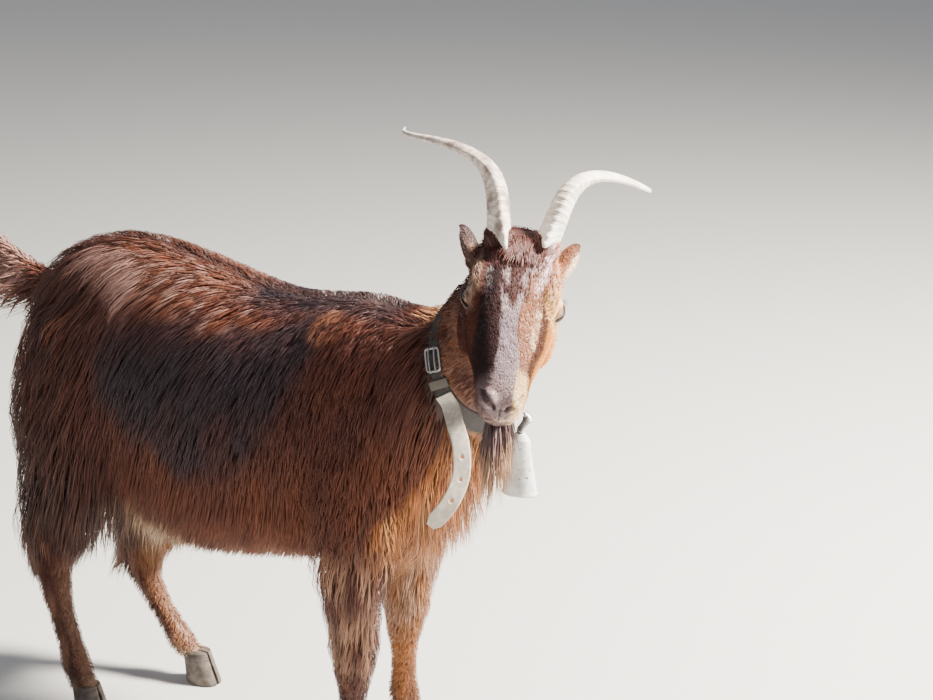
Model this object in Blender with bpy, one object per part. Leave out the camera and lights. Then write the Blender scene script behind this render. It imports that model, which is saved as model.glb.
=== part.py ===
"""Long-haired alpine goat standing still, its head turned to its right, with a collar and a small bell.

The goat faces +X, its left side is at +Y, and it stands on the plane z = 0. Metres throughout.
The flesh is made of lofted tubes, fused and parted into named pieces by flat cuts. The long coat is a
core half as deep as the hair, with flat tapered locks rooted in it.
"""
import math
import random

import bmesh
import bpy
import numpy as np
from mathutils import Matrix, Vector
from mathutils.bvhtree import BVHTree

# Driving dimensions
GAP = 0.0003
CORE_SHARE = 0.45
CORONET_HEIGHT = 0.042
COLLAR_STATION = 12.35
STATION_STEP = 0.047
COLLAR_HALF_WIDTH = 0.014
COLLAR_THICKNESS = 0.0035
COLLAR_SINK = 0.004
COLLAR_SLACK = 0.010
HANGER_ANGLE = 144
EYE_RADIUS = 0.0145
EYE_PLACE = (0.085, 0.0510, -0.0355)
NOSTRIL_WING = (0.237, 0.0145, -0.031)
WING_RADII = (0.015, 0.0125, 0.014)
HORN_START = 0.035
HORN_RINGS = 21
HORN_RIDGES = 9
BUCKLE_ANGLE = -82
BUCKLE_SIZE = (0.034, 0.026)
BUCKLE_BAR = 0.0036
KEEPER_ANGLE = -103
KEEPER_SIZE = (0.012, 0.027)
BELL_HEIGHT = 0.086
BELL_WALL = 0.0022
BODY_VOXEL = 0.0075
HEAD_VOXEL = 0.0032
BODY_TRIANGLES = 1550
HEAD_TRIANGLES = 1060
SEED = 11
SIDES = ((-1, "right"), (1, "left"))

# Where the nodes part: throat plane in the head frame, neck base, thigh, stifle, elbow and chest
NECK_STUB_START = 12.6
THROAT_PLACE = (0.0, 0.0, -0.070)
THROAT_WAY = (0.70, 0.0, 0.714)
THROAT_REACH = 0.5
THROAT_HALF_WIDTH = 0.20
NECK_BASE = (0.325, 0.0, 0.61)
NECK_WAY = (0.93, 0.0, 0.35)
HIND_TOP = 0.50
STIFLE_FRONT = -0.115
FORE_TOP = 0.395
FORE_BACK = 0.130
FORE_FRONT = 0.350
LEG_INSIDE = 0.030

# Trunk and neck, rump to poll: crest x, y, z, keel x, y, z, half width,
# then the coat's depth above, beside and below, and how far the section is turned in degrees
TRUNK = np.array([
    (-0.385, 0.000, 0.655, -0.372, 0.000, 0.500, 0.040, 0.010, 0.018, 0.020, 0),
    (-0.355, 0.000, 0.700, -0.340, 0.000, 0.430, 0.078, 0.010, 0.024, 0.026, 0),
    (-0.300, 0.000, 0.734, -0.285, 0.000, 0.390, 0.100, 0.012, 0.026, 0.030, 0),
    (-0.235, 0.000, 0.752, -0.220, 0.000, 0.368, 0.114, 0.012, 0.024, 0.030, 0),
    (-0.165, 0.000, 0.753, -0.150, 0.000, 0.350, 0.132, 0.012, 0.024, 0.028, 0),
    (-0.085, 0.000, 0.738, -0.070, 0.000, 0.328, 0.150, 0.012, 0.022, 0.026, 0),
    (0.000, 0.000, 0.718, 0.010, 0.000, 0.330, 0.152, 0.012, 0.022, 0.024, 0),
    (0.080, 0.000, 0.706, 0.100, 0.000, 0.342, 0.142, 0.012, 0.020, 0.022, 0),
    (0.160, 0.000, 0.712, 0.190, 0.000, 0.358, 0.122, 0.012, 0.020, 0.026, 0),
    (0.225, 0.000, 0.716, 0.290, 0.000, 0.385, 0.110, 0.014, 0.022, 0.030, 0),
    (0.280, 0.000, 0.708, 0.345, 0.000, 0.440, 0.098, 0.014, 0.022, 0.032, 0),
    (0.322, 0.000, 0.708, 0.378, 0.000, 0.515, 0.080, 0.014, 0.020, 0.026, -4),
    (0.352, -0.002, 0.727, 0.412, -0.006, 0.568, 0.066, 0.014, 0.018, 0.022, -14),
    (0.386, -0.006, 0.760, 0.440, -0.022, 0.612, 0.057, 0.014, 0.017, 0.018, -28),
    (0.424, -0.016, 0.798, 0.460, -0.052, 0.655, 0.052, 0.010, 0.014, 0.012, -42),
    (0.455, -0.034, 0.820, 0.474, -0.085, 0.700, 0.042, 0.006, 0.008, 0.006, -52),
])

# Leg centres: hip or shoulder, stifle or elbow, hock or knee, fetlock, coronet
LEGS = {
    "hind_leg_right": [(-0.250, -0.060, 0.640), (-0.253, -0.090, 0.430), (-0.325, -0.094, 0.265),
                       (-0.287, -0.094, 0.085), (-0.266, -0.094, 0.042)],
    "hind_leg_left": [(-0.250, 0.060, 0.640), (-0.226, 0.090, 0.410), (-0.312, 0.094, 0.207),
                      (-0.236, 0.094, 0.070), (-0.198, 0.094, 0.042)],
    "foreleg_right": [(0.245, -0.070, 0.600), (0.247, -0.096, 0.400), (0.243, -0.088, 0.235),
                      (0.236, -0.088, 0.090), (0.252, -0.088, 0.042)],
    "foreleg_left": [(0.240, 0.070, 0.600), (0.228, 0.096, 0.400), (0.214, 0.088, 0.235),
                     (0.208, 0.088, 0.090), (0.224, 0.088, 0.042)],
}

# Leg sections: place along the joints above, half length, half width, coat depth
HIND_SECTIONS = np.array([
    (0.0, 0.100, 0.045, 0.016), (0.4, 0.122, 0.053, 0.024), (0.75, 0.120, 0.053, 0.028),
    (1.0, 0.104, 0.047, 0.030), (1.3, 0.078, 0.038, 0.026), (1.6, 0.055, 0.029, 0.018),
    (1.85, 0.041, 0.025, 0.010), (2.0, 0.037, 0.023, 0.007), (2.2, 0.028, 0.019, 0.005),
    (2.5, 0.0195, 0.0155, 0.004), (2.8, 0.0190, 0.0155, 0.004), (3.0, 0.0225, 0.0190, 0.004),
    (3.4, 0.0200, 0.0180, 0.004), (4.0, 0.0225, 0.0195, 0.002),
])
FORE_SECTIONS = np.array([
    (0.0, 0.066, 0.036, 0.012), (0.5, 0.078, 0.042, 0.018), (0.8, 0.066, 0.039, 0.020),
    (1.0, 0.052, 0.034, 0.022), (1.3, 0.038, 0.028, 0.018), (1.6, 0.030, 0.024, 0.015),
    (1.85, 0.0265, 0.0230, 0.012), (2.0, 0.0275, 0.0240, 0.009), (2.2, 0.0235, 0.0205, 0.006),
    (2.5, 0.0170, 0.0150, 0.004), (2.8, 0.0165, 0.0150, 0.004), (3.0, 0.0215, 0.0190, 0.004),
    (3.4, 0.0195, 0.0180, 0.004), (4.0, 0.0220, 0.0195, 0.002),
])

# Head frame: poll place, then yaw, pitch and roll of the face line in degrees
POLL = Vector((0.490, -0.047, 0.851))
HEAD_YAW = -66
HEAD_PITCH = 38
HEAD_ROLL = -12.5

# Skull sections along the face line: place, half width, upper line, lower line, how much wider above
SKULL = np.array([
    (-0.030, 0.040, -0.022, -0.092, 0.0),
    (-0.005, 0.050, -0.004, -0.116, 0.02),
    (0.030, 0.057, 0.003, -0.127, 0.05),
    (0.065, 0.060, 0.003, -0.128, 0.08),
    (0.100, 0.058, 0.000, -0.122, 0.04),
    (0.130, 0.052, -0.004, -0.112, 0.0),
    (0.160, 0.044, -0.008, -0.099, 0.0),
    (0.190, 0.0355, -0.011, -0.088, 0.0),
    (0.215, 0.0315, -0.014, -0.084, 0.0),
    (0.235, 0.0285, -0.019, -0.080, 0.0),
    (0.250, 0.0190, -0.030, -0.070, 0.0),
])

# Control points of each horn's centre line in the head frame; the two horns differ a little
HORN_CURVES = {
    -1: np.array([(0.004, -0.030, -0.012), (-0.044, -0.043, 0.027), (-0.089, -0.039, 0.044),
                  (-0.134, -0.090, 0.024), (-0.184, -0.189, -0.079), (-0.230, -0.173, -0.094)]),
    1: np.array([(0.004, 0.030, -0.012), (-0.040, 0.047, 0.023), (-0.093, 0.037, 0.047),
                 (-0.135, 0.088, 0.024), (-0.171, 0.198, -0.092), (-0.211, 0.171, -0.112)]),
}

# Place along a horn, half depth to its keel, half width
HORN_SIZES = np.array([
    (0.00, 0.0185, 0.0155), (0.15, 0.0175, 0.0148), (0.27, 0.0165, 0.0136), (0.38, 0.0138, 0.0110),
    (0.49, 0.0110, 0.0078), (0.60, 0.0088, 0.0060), (0.70, 0.0066, 0.0047), (0.80, 0.0050, 0.0037),
    (0.90, 0.0036, 0.0028), (1.00, 0.0012, 0.0012),
])

# Ear: root and tip in the head frame, half width of the leaf
EAR_ROOT = Vector((0.022, 0.051, -0.054))
EAR_TIP = Vector((-0.050, 0.085, -0.077))
EAR_HALF_WIDTH = 0.021

# How far a lock's back clears the core at its root
LOCK_CLEARANCE = 0.0025

# Lock outline: half width as a share of the widest, from root to tip
LOCK_OUTLINE = ((0.0, 0.25, 0.5, 0.75, 1.0), (0.70, 1.00, 0.88, 0.58, 0.0))

TAIL_ROOT = Vector((-0.385, 0.0, 0.655))
TAIL_TIP = Vector((-0.500, 0.004, 0.722))

BELL_TOP = Vector((0.4457, 0.0235, 0.556))

STRAP_PATH = np.array([
    (0.412, -0.089, 0.595), (0.437, -0.114, 0.575), (0.446, -0.128, 0.540), (0.440, -0.147, 0.506),
    (0.420, -0.163, 0.476),
])
STRAP_ANGLES = (-113, -124)
STRAP_HALF_THICKNESS = 0.0014
STRAP_HALF_WIDTH = 0.0115


def clear_scene():
    for obj in list(bpy.data.objects):
        bpy.data.objects.remove(obj)


def paint(obj, colour, roughness, metallic=0.0):
    """Gives the object its own plain material."""
    material = bpy.data.materials.new(obj.name)
    material.use_nodes = True
    shader = material.node_tree.nodes["Principled BSDF"]
    shader.inputs["Base Color"].default_value = (*colour, 1.0)
    shader.inputs["Roughness"].default_value = roughness
    shader.inputs["Metallic"].default_value = metallic
    obj.data.materials.clear()
    obj.data.materials.append(material)


def mesh_object(name, points, faces):
    """A mesh object from points and faces, with its faces turned outwards."""
    mesh = bpy.data.meshes.new(name)
    mesh.from_pydata([tuple(map(float, p)) for p in points], [], [tuple(map(int, f)) for f in faces])
    work = bmesh.new()
    work.from_mesh(mesh)
    bmesh.ops.recalc_face_normals(work, faces=work.faces)
    work.to_mesh(mesh)
    work.free()
    obj = bpy.data.objects.new(name, mesh)
    bpy.context.scene.collection.objects.link(obj)
    return obj


def bake(obj):
    """Replaces the object's mesh by what its modifiers make of it."""
    bpy.context.view_layer.update()
    graph = bpy.context.evaluated_depsgraph_get()
    mesh = bpy.data.meshes.new_from_object(obj.evaluated_get(graph))
    obj.modifiers.clear()
    obj.data = mesh


def loft(name, rings):
    """A closed tube through rings of points (rings, around, 3), with a pole at each end."""
    count, around = rings.shape[:2]
    points = np.concatenate([rings.reshape(-1, 3), rings[0].mean(0)[None], rings[-1].mean(0)[None]])
    faces = []
    for i in range(count - 1):
        for j in range(around):
            k = (j + 1) % around
            faces.append((i * around + j, i * around + k, (i + 1) * around + k, (i + 1) * around + j))
    first, last = count * around, count * around + 1
    for j in range(around):
        k = (j + 1) % around
        faces.append((first, k, j))
        faces.append((last, (count - 1) * around + j, (count - 1) * around + k))
    return mesh_object(name, points, faces)


def smooth_rows(rows, places):
    """Rows read at fractional places, on a curve that passes through each row."""
    rows = np.asarray(rows, float)
    places = np.clip(np.asarray(places, float), 0, len(rows) - 1)
    low = np.minimum(places.astype(int), len(rows) - 2)
    t = (places - low)[:, None]
    slope = np.gradient(rows, axis=0)
    a, b = rows[low], rows[low + 1]
    c, d = slope[low], slope[low + 1]
    leave, reach = 2 * t**3 - 3 * t**2 + 1, 3 * t**2 - 2 * t**3
    return leave * a + reach * b + (t**3 - 2 * t**2 + t) * c + (t**3 - t**2) * d


def rounded_ends(count, last):
    """Places 0 to last, set closer near both ends."""
    t = np.linspace(0, 1, count)
    return last * (t + 0.5 * (t - np.sin(2 * math.pi * t) / (2 * math.pi))) / 1.5


def trunk_ring(places, angles, share):
    """Points on the trunk: angle 0 is the crest, 180 degrees the keel, positive on the left."""
    row = smooth_rows(TRUNK, places)
    crest, keel = row[:, 0:3], row[:, 3:6]
    up = crest - keel
    height = np.linalg.norm(up, axis=1, keepdims=True)
    up = up / height
    crest = crest + up * row[:, 7:8] * share
    keel = keel - up * row[:, 9:10] * share
    half = (np.linalg.norm(crest - keel, axis=1) / 2)[:, None]
    middle = (crest + keel) / 2
    turn = np.radians(row[:, 10])
    side = np.stack([-np.sin(turn), np.cos(turn), 0 * turn], 1)
    wide = (row[:, 6] + row[:, 8] * share)[:, None]
    cos, sin = np.cos(angles)[:, None], np.sin(angles)[:, None]
    return middle + up * half * cos + side * wide * sin * (1 - 0.13 * cos)


def trunk_rings(places, around, share):
    angles = np.arange(around) * 2 * math.pi / around
    rings = [trunk_ring(np.full(around, place), angles, share) for place in places]
    return np.array(rings)


def leg_row(name, place):
    """Centre, half length, half width and coat depth of a leg at a place along its joints."""
    sections = HIND_SECTIONS if name.startswith("hind") else FORE_SECTIONS
    centre = smooth_rows(LEGS[name], [place])[0]
    size = [np.interp(place, sections[:, 0], sections[:, k]) for k in (1, 2, 3)]
    return centre, *size


def leg_rings(name, places, around, share):
    angles = np.arange(around) * 2 * math.pi / around
    rings = []
    for place in places:
        centre, long, wide, coat = leg_row(name, place)
        ring = np.zeros((around, 3)) + centre
        ring[:, 0] += (long + coat * share) * np.cos(angles)
        ring[:, 1] += (wide + coat * share * 0.6) * np.sin(angles)
        rings.append(ring)
    if places[-1] == 4:
        rings.append(rings[-1] - np.array([0, 0, 0.5 * CORONET_HEIGHT]))
    return np.array(rings)


def head_matrix():
    """Turns head frame points (along the face, to the left, out of the forehead) into place."""
    yaw, pitch, roll = map(math.radians, (HEAD_YAW, HEAD_PITCH, HEAD_ROLL))
    along = Vector((math.cos(yaw) * math.cos(pitch), math.sin(yaw) * math.cos(pitch), -math.sin(pitch)))
    level = Vector((-math.sin(yaw), math.cos(yaw), 0.0))
    left = math.cos(roll) * level + math.sin(roll) * along.cross(level)
    out = along.cross(left)
    return Matrix((along, left, out)).transposed().to_4x4()


HEAD = Matrix.Translation(POLL) @ head_matrix()


def place_head(points):
    """Numpy points of the head frame, put in place."""
    turn = np.array(HEAD.to_3x3())
    return np.asarray(points, float) @ turn.T + np.array(POLL)


def skull_ring(place, around):
    row = [np.interp(place, np.arange(len(SKULL)), SKULL[:, k]) for k in range(5)]
    angles = np.arange(around) * 2 * math.pi / around
    cos, sin = np.cos(angles), np.sin(angles)
    middle, half = (row[2] + row[3]) / 2, (row[2] - row[3]) / 2
    ring = np.zeros((around, 3))
    ring[:, 0] = row[0]
    ring[:, 1] = row[1] * np.sign(sin) * np.abs(sin) ** 0.85 * (1 + row[4] * cos)
    ring[:, 2] = middle + half * np.sign(cos) * np.abs(cos) ** 0.9
    return ring


def ball(name, centre, radii, segments=16):
    """An ellipsoid with its axes along x, y and z."""
    work = bmesh.new()
    bmesh.ops.create_uvsphere(work, u_segments=segments, v_segments=segments // 2 + 2, radius=1)
    points = np.array([v.co for v in work.verts]) * np.array(radii)
    faces = [[v.index for v in f.verts] for f in work.faces]
    work.free()
    return mesh_object(name, points + np.array(centre), faces)


def tube(name, path, radii, around=8, flat=1.0):
    """A closed tube along path points; flat squeezes the section."""
    path = np.asarray(path, float)
    radii = np.broadcast_to(np.asarray(radii, float), (len(path),))
    heading = np.gradient(path, axis=0)
    heading /= np.linalg.norm(heading, axis=1, keepdims=True)
    across = np.cross(heading, (0.13, 0.31, 0.94))
    across /= np.linalg.norm(across, axis=1, keepdims=True)
    other = np.cross(heading, across)
    angles = np.arange(around) * 2 * math.pi / around
    circle = np.cos(angles)[:, None] * across[:, None] + flat * np.sin(angles)[:, None] * other[:, None]
    return loft(name, path[:, None] + radii[:, None, None] * circle)


def move_points(obj, points):
    obj.data.vertices.foreach_set("co", np.asarray(points, np.float32).ravel())
    obj.data.update()


def points_of(obj):
    points = np.empty(len(obj.data.vertices) * 3, np.float32)
    obj.data.vertices.foreach_get("co", points)
    return points.reshape(-1, 3).astype(float)


def fuse(name, pieces):
    """One closed body from many, with the pieces used up."""
    first, others = pieces[0], pieces[1:]
    if others:
        group = bpy.data.collections.new(name + "_pieces")
        bpy.context.scene.collection.children.link(group)
        for piece in others:
            group.objects.link(piece)
        join = first.modifiers.new("fuse", "BOOLEAN")
        join.operation = "UNION"
        join.operand_type = "COLLECTION"
        join.collection = group
        join.solver = "MANIFOLD"
        bake(first)
        for piece in others:
            bpy.data.objects.remove(piece)
        bpy.data.collections.remove(group)
    first.name = name
    return first


def blend(name, pieces, voxel, triangles, rounds=5):
    """Fuses pieces of flesh into one smooth skin of about so many triangles."""
    points, faces = [], []
    for piece in pieces:
        start = sum(map(len, points))
        points.append(points_of(piece))
        faces += [[start + v for v in polygon.vertices] for polygon in piece.data.polygons]
        bpy.data.objects.remove(piece)
    obj = mesh_object(name, np.concatenate(points), faces)
    remesh = obj.modifiers.new("remesh", "REMESH")
    remesh.mode = "VOXEL"
    remesh.voxel_size = voxel
    soften = obj.modifiers.new("soften", "SMOOTH")
    soften.factor = 0.5
    soften.iterations = rounds
    bake(obj)
    thin = obj.modifiers.new("thin", "DECIMATE")
    thin.ratio = triangles / (2 * len(obj.data.polygons))
    bake(obj)
    keep_largest(obj)
    return obj


def keep_largest(obj):
    """Keeps the largest closed surface of a mesh and drops loose scraps."""
    work = bmesh.new()
    work.from_mesh(obj.data)
    bmesh.ops.triangulate(work, faces=work.faces)
    work.faces.ensure_lookup_table()
    todo, groups = set(work.faces), []
    while todo:
        group, front = [], [todo.pop()]
        while front:
            face = front.pop()
            group.append(face)
            for edge in face.edges:
                for other in edge.link_faces:
                    if other in todo:
                        todo.remove(other)
                        front.append(other)
        groups.append(group)
    groups.sort(key=lambda group: sum(face.calc_area() for face in group))
    for group in groups[:-1]:
        bmesh.ops.delete(work, geom=group, context="FACES")
    loose = [vertex for vertex in work.verts if not vertex.link_faces]
    bmesh.ops.delete(work, geom=loose, context="VERTS")
    work.to_mesh(obj.data)
    work.free()


def cut(obj, cutter, operation="DIFFERENCE"):
    """Cuts with a closed cutter, which is used up."""
    trim = obj.modifiers.new("cut", "BOOLEAN")
    trim.operation = operation
    trim.object = cutter
    trim.solver = "MANIFOLD"
    bake(obj)
    bpy.data.objects.remove(cutter)


def copy_of(obj, name):
    twin = obj.copy()
    twin.data = obj.data.copy()
    twin.name = name
    bpy.context.scene.collection.objects.link(twin)
    return twin


def grown_copy(obj, name, amount):
    """A copy pushed out along its normals, for cutting a neighbour clear of it."""
    twin = copy_of(obj, name)
    normals = np.array([vertex.normal for vertex in twin.data.vertices])
    move_points(twin, points_of(twin) + normals * amount)
    return twin


def clear_of(obj, *others):
    """Cuts the object back so that the usual gap is left to each of the others."""
    for other in others:
        cut(obj, grown_copy(other, "near", 1.5 * GAP))
    keep_largest(obj)


def prism(name, outline, low, high):
    """A block with an outline in x and z, from y = low to y = high."""
    count = len(outline)
    points = [(x, low, z) for x, z in outline] + [(x, high, z) for x, z in outline]
    faces = [tuple(range(count)), tuple(range(count, 2 * count))]
    faces += [(i, (i + 1) % count, count + (i + 1) % count, count + i) for i in range(count)]
    return mesh_object(name, points, faces)


def boxed(name, point, normal, reach, half):
    """A box that starts at the point and runs along the normal, with the given half width."""
    normal = Vector(normal).normalized()
    work = bmesh.new()
    bmesh.ops.create_cube(work, size=1.0)
    turn = normal.to_track_quat("Z", "Y").to_matrix().to_4x4()
    scale = Matrix.Diagonal((2 * half, 2 * half, reach, 1.0))
    work.transform(Matrix.Translation(Vector(point) + normal * reach / 2) @ turn @ scale)
    mesh = bpy.data.meshes.new(name)
    work.to_mesh(mesh)
    work.free()
    obj = bpy.data.objects.new(name, mesh)
    bpy.context.scene.collection.objects.link(obj)
    return obj


def part_by_box(whole, name, point, normal, reach, half):
    """Parts the piece inside the box off the whole, with the gap between the two faces."""
    normal = Vector(normal).normalized()
    piece = copy_of(whole, name)
    cut(piece, boxed("box", Vector(point) + normal * GAP, normal, reach, half), "INTERSECT")
    keep_largest(piece)
    cut(whole, boxed("box", point, normal, reach + 0.01, half + 0.01))
    keep_largest(whole)
    return piece


def surface_tree(obj):
    graph = bpy.context.evaluated_depsgraph_get()
    return BVHTree.FromObject(obj, graph)


def lock(tree, root, lie, length, width, thick, rise, fall=0.35, steps=3, sink=0.006):
    """A flat tapered lock: its spine follows the surface, rises off it towards the tip and hangs."""
    place, normal, _, _ = tree.find_nearest(Vector(root))
    heading = Vector(lie(place))
    heading = (heading - normal * heading.dot(normal) * 0.8).normalized()
    spine = [place - normal * sink - heading * 0.3 * sink]
    normals = [normal.copy()]
    for i in range(1, steps + 1):
        share = i / steps
        heading = (heading * (1 - fall) + Vector(lie(place)).normalized() * fall).normalized()
        place = place + heading * length / steps
        near, normal, _, _ = tree.find_nearest(place)
        height = (place - near).dot(normal)
        least = LOCK_CLEARANCE + rise * share
        if height < least:
            moved = near + normal * least
            heading = (moved - spine[-1]).normalized()
            place = moved
            normals.append(normal.copy())
        else:
            normals.append(normals[-1].copy())
        spine.append(place.copy())
    rings = []
    for i, middle in enumerate(spine[:-1]):
        share = i / steps
        heading = (spine[i + 1] - spine[max(i - 1, 0)]).normalized()
        across = heading.cross(normals[i])
        if across.length < 0.2:
            across = heading.orthogonal()
        across.normalize()
        out = across.cross(heading).normalized()
        wide = width / 2 * float(np.interp(share, *LOCK_OUTLINE))
        deep = thick * (1 - 0.5 * share)
        rings.append([middle - across * wide, middle + out * deep, middle + across * wide])
    return pointed_loft(rings, spine[-1])


def pointed_loft(rings, tip):
    """A closed spike through rings of points, ending in one point."""
    around = len(rings[0])
    points = [p for ring in rings for p in ring] + [tip]
    faces = [tuple(range(around))]
    for i in range(len(rings) - 1):
        for j in range(around):
            a, b = i * around + j, i * around + (j + 1) % around
            faces += [(a, b, b + around), (a, b + around, a + around)]
    last = (len(rings) - 1) * around
    faces += [(last + j, last + (j + 1) % around, len(points) - 1) for j in range(around)]
    return mesh_object("lock", points, faces)


def straight_lie(way):
    """A lie that is the same everywhere."""
    def lie(place):
        return way
    return lie


def side_lie(backward, outward):
    """A lie that falls down the body, leans back and leaves the middle of the back."""
    def lie(place):
        side = math.copysign(1.0, place.y) if abs(place.y) > 0.002 else 1.0
        return Vector((-backward, side * outward, -1.0))
    return lie


def trunk_locks(tree, rng):
    """Rows of locks down both sides of the torso, longest low on the flank."""
    locks = []
    rows = [(17, 0.135, 0.050, 0.004, 1.0, 0.9), (50, 0.165, 0.055, 0.005, 0.40, 0.5),
            (82, 0.155, 0.055, 0.006, 0.2, 0.0), (114, 0.105, 0.050, 0.006, 0.14, -0.12)]
    for row, (angle, length, width, rise, backward, outward) in enumerate(rows):
        for side in (-1, 1):
            for k in range(6):
                place = 1.5 + (k + 0.5 * (row % 2)) * 1.36 + rng.uniform(-0.15, 0.15)
                behind_thigh = row == 3 and place < 4
                if behind_thigh:
                    continue
                turn = side * math.radians(angle + rng.uniform(-6, 6))
                root = trunk_ring(np.array([place]), np.array([turn]), CORE_SHARE)[0]
                locks.append(lock(tree, root, side_lie(backward, outward), length * rng.uniform(0.8, 1.2),
                                  width * rng.uniform(0.8, 1.15), 0.0045, rise * rng.uniform(0.7, 1.2)))
    return locks


def crest_locks(tree, rng):
    """Short locks along the middle of the back, and the raised tuft where the neck meets the withers."""
    locks = []
    for k in range(6):
        place = 2.0 + k * 1.35 + rng.uniform(-0.2, 0.2)
        turn = math.radians(rng.uniform(-4, 4))
        root = trunk_ring(np.array([place]), np.array([turn]), CORE_SHARE)[0]
        lean = rng.uniform(-0.3, 0.3)
        locks.append(lock(tree, root, straight_lie(Vector((-1.0, lean, -0.1))), 0.105, 0.034, 0.004, 0.003))
    for k in range(5):
        place = 10.8 + k * 0.33
        root = trunk_ring(np.array([place]), np.array([0.0]), CORE_SHARE)[0]
        lean = rng.uniform(-0.35, 0.35)
        locks.append(lock(tree, root, straight_lie(Vector((-0.8, lean, 0.55))),
                          0.046, 0.020, 0.004, 0.014, fall=0.2))
    return locks


def neck_locks(tree, rng):
    """Locks that hang down the neck, and the long hair of the throat and brisket."""
    locks = []
    for row, (angle, length) in enumerate([(36, 0.080), (84, 0.095), (132, 0.100)]):
        for side in (-1, 1):
            for k in range(3 - row // 2):
                place = 10.6 + (k + 0.5 * (row % 2)) * 1.0 + rng.uniform(-0.15, 0.15)
                turn = side * math.radians(angle + rng.uniform(-8, 8))
                root = trunk_ring(np.array([place]), np.array([turn]), CORE_SHARE)[0]
                locks.append(lock(tree, root, side_lie(0.45, 0.25), length * rng.uniform(0.85, 1.1),
                                  0.032 * rng.uniform(0.85, 1.15), 0.0045, 0.008))
    for k in range(8):
        place = 8.9 + k * 0.33
        turn = math.radians(180 + (-1) ** k * rng.uniform(5, 38))
        root = trunk_ring(np.array([place]), np.array([turn]), CORE_SHARE)[0]
        locks.append(lock(tree, root, side_lie(0.05, 0.05), rng.uniform(0.080, 0.110),
                          0.029, 0.0045, 0.010, fall=0.5))
    return locks


def belly_locks(tree, rng):
    """The hanging fringe under the belly, with a thicker tuft before the hind legs."""
    locks = []
    for k in range(6):
        place = 3.7 + k * 0.80
        turn = math.radians(180 + rng.uniform(-26, 26))
        root = trunk_ring(np.array([place]), np.array([turn]), CORE_SHARE)[0]
        tuft = k < 2
        backward = 0.15 if tuft else 2.5
        length = 0.080 if tuft else 0.060
        locks.append(lock(tree, root, side_lie(backward, 0.05), length * rng.uniform(0.85, 1.15),
                          0.034, 0.0045, 0.006, fall=0.6 if tuft else 0.3))
    return locks


def leg_point(name, place, angle, share):
    """A point on a leg's surface: angle 0 is the front, 90 degrees the left side."""
    centre, long, wide, coat = leg_row(name, place)
    turn = math.radians(angle)
    return Vector((centre[0] + (long + coat * share) * math.cos(turn),
                   centre[1] + (wide + coat * share * 0.6) * math.sin(turn), centre[2]))


def leg_locks(tree, rng, name):
    """Thigh curtain and hock tuft of a hind leg, or the feathering of a foreleg."""
    outer = -90 if name.endswith("right") else 90
    if name.startswith("hind"):
        rows = [(0.60, 4, 0.150, 0.044, 0.008), (0.95, 3, 0.135, 0.044, 0.010),
                (1.25, 3, 0.110, 0.036, 0.010), (1.6, 2, 0.070, 0.022, 0.008)]
        extra = [(1.93, 180, 0.042, 0.014), (2.05, 180, 0.036, 0.012)]
    else:
        rows = [(1.0, 3, 0.095, 0.032, 0.007), (1.35, 3, 0.085, 0.030, 0.009), (1.7, 3, 0.065, 0.024, 0.009)]
        extra = [(2.0, 180, 0.045, 0.015)]
    locks = []
    for row, (place, count, length, width, rise) in enumerate(rows):
        for k in range(count):
            sweep = (k + 0.5 * (row % 2)) / count * 230 - 100
            angle = outer / 90 * (90 + sweep - 15)
            root = leg_point(name, place + rng.uniform(-0.05, 0.05), angle + rng.uniform(-8, 8), CORE_SHARE)
            locks.append(lock(tree, root, side_lie(0.22, 0.0), length * rng.uniform(0.85, 1.15),
                              width * rng.uniform(0.9, 1.1), 0.0042, rise, fall=0.5))
    for place, angle, length, width in extra:
        root = leg_point(name, place, angle, CORE_SHARE)
        locks.append(lock(tree, root, side_lie(0.6, 0.0), length, width, 0.004, 0.011))
    return locks


def make_body_core():
    """Trunk, neck and upper legs blended into one skin, with the lower legs joined on."""
    pieces = [loft("trunk", trunk_rings(rounded_ends(60, len(TRUNK) - 1.0), 36, CORE_SHARE))]
    for name in LEGS:
        pieces.append(loft(name, leg_rings(name, np.linspace(0, 1.9, 16), 20, CORE_SHARE)))
    pieces += head_lumps(whole=False)
    body = blend("body", pieces, BODY_VOXEL, BODY_TRIANGLES)
    shanks = [loft(name, leg_rings(name, np.linspace(1.5, 4, 11), 8, CORE_SHARE)) for name in LEGS]
    return fuse("body", [body] + shanks)


def head_lumps(whole=True):
    """The pieces of flesh and bone that make the head, in place, or only what shapes the throat."""
    rings = np.array([skull_ring(place, 28) for place in np.linspace(0, len(SKULL) - 1, 34)])
    pieces = [loft("skull", rings)]
    for side in (-1, 1):
        if not whole:
            continue
        pieces.append(ball("orbit", (0.080, side * 0.043, -0.032), (0.030, 0.0185, 0.024)))
        pieces.append(ball("brow", (0.070, side * 0.041, -0.013), (0.028, 0.0175, 0.013)))
        pieces.append(ball("cheek", (0.085, side * 0.040, -0.085), (0.055, 0.024, 0.038)))
        pieces.append(ball("horn_boss", (0.004, side * 0.030, -0.012), (0.023, 0.0215, 0.021)))
        wing = (NOSTRIL_WING[0], side * NOSTRIL_WING[1], NOSTRIL_WING[2])
        pieces.append(ball("nostril_wing", wing, WING_RADII))
        seat = (EAR_ROOT.x, side * (EAR_ROOT.y - 0.004), EAR_ROOT.z)
        pieces.append(ball("ear_seat", seat, (0.017, 0.014, 0.016)))
        pieces.append(lid_ridge(side, 1))
        pieces.append(lid_ridge(side, -1))
    if whole:
        pieces.append(ball("upper_lip", (0.243, 0.0, -0.045), (0.014, 0.022, 0.014)))
        pieces.append(ball("chin", (0.222, 0.0, -0.078), (0.022, 0.019, 0.014)))
        pieces.append(ball("lower_lip", (0.236, 0.0, -0.066), (0.012, 0.017, 0.008)))
    for piece in pieces:
        move_points(piece, place_head(points_of(piece)))
    return pieces


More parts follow.
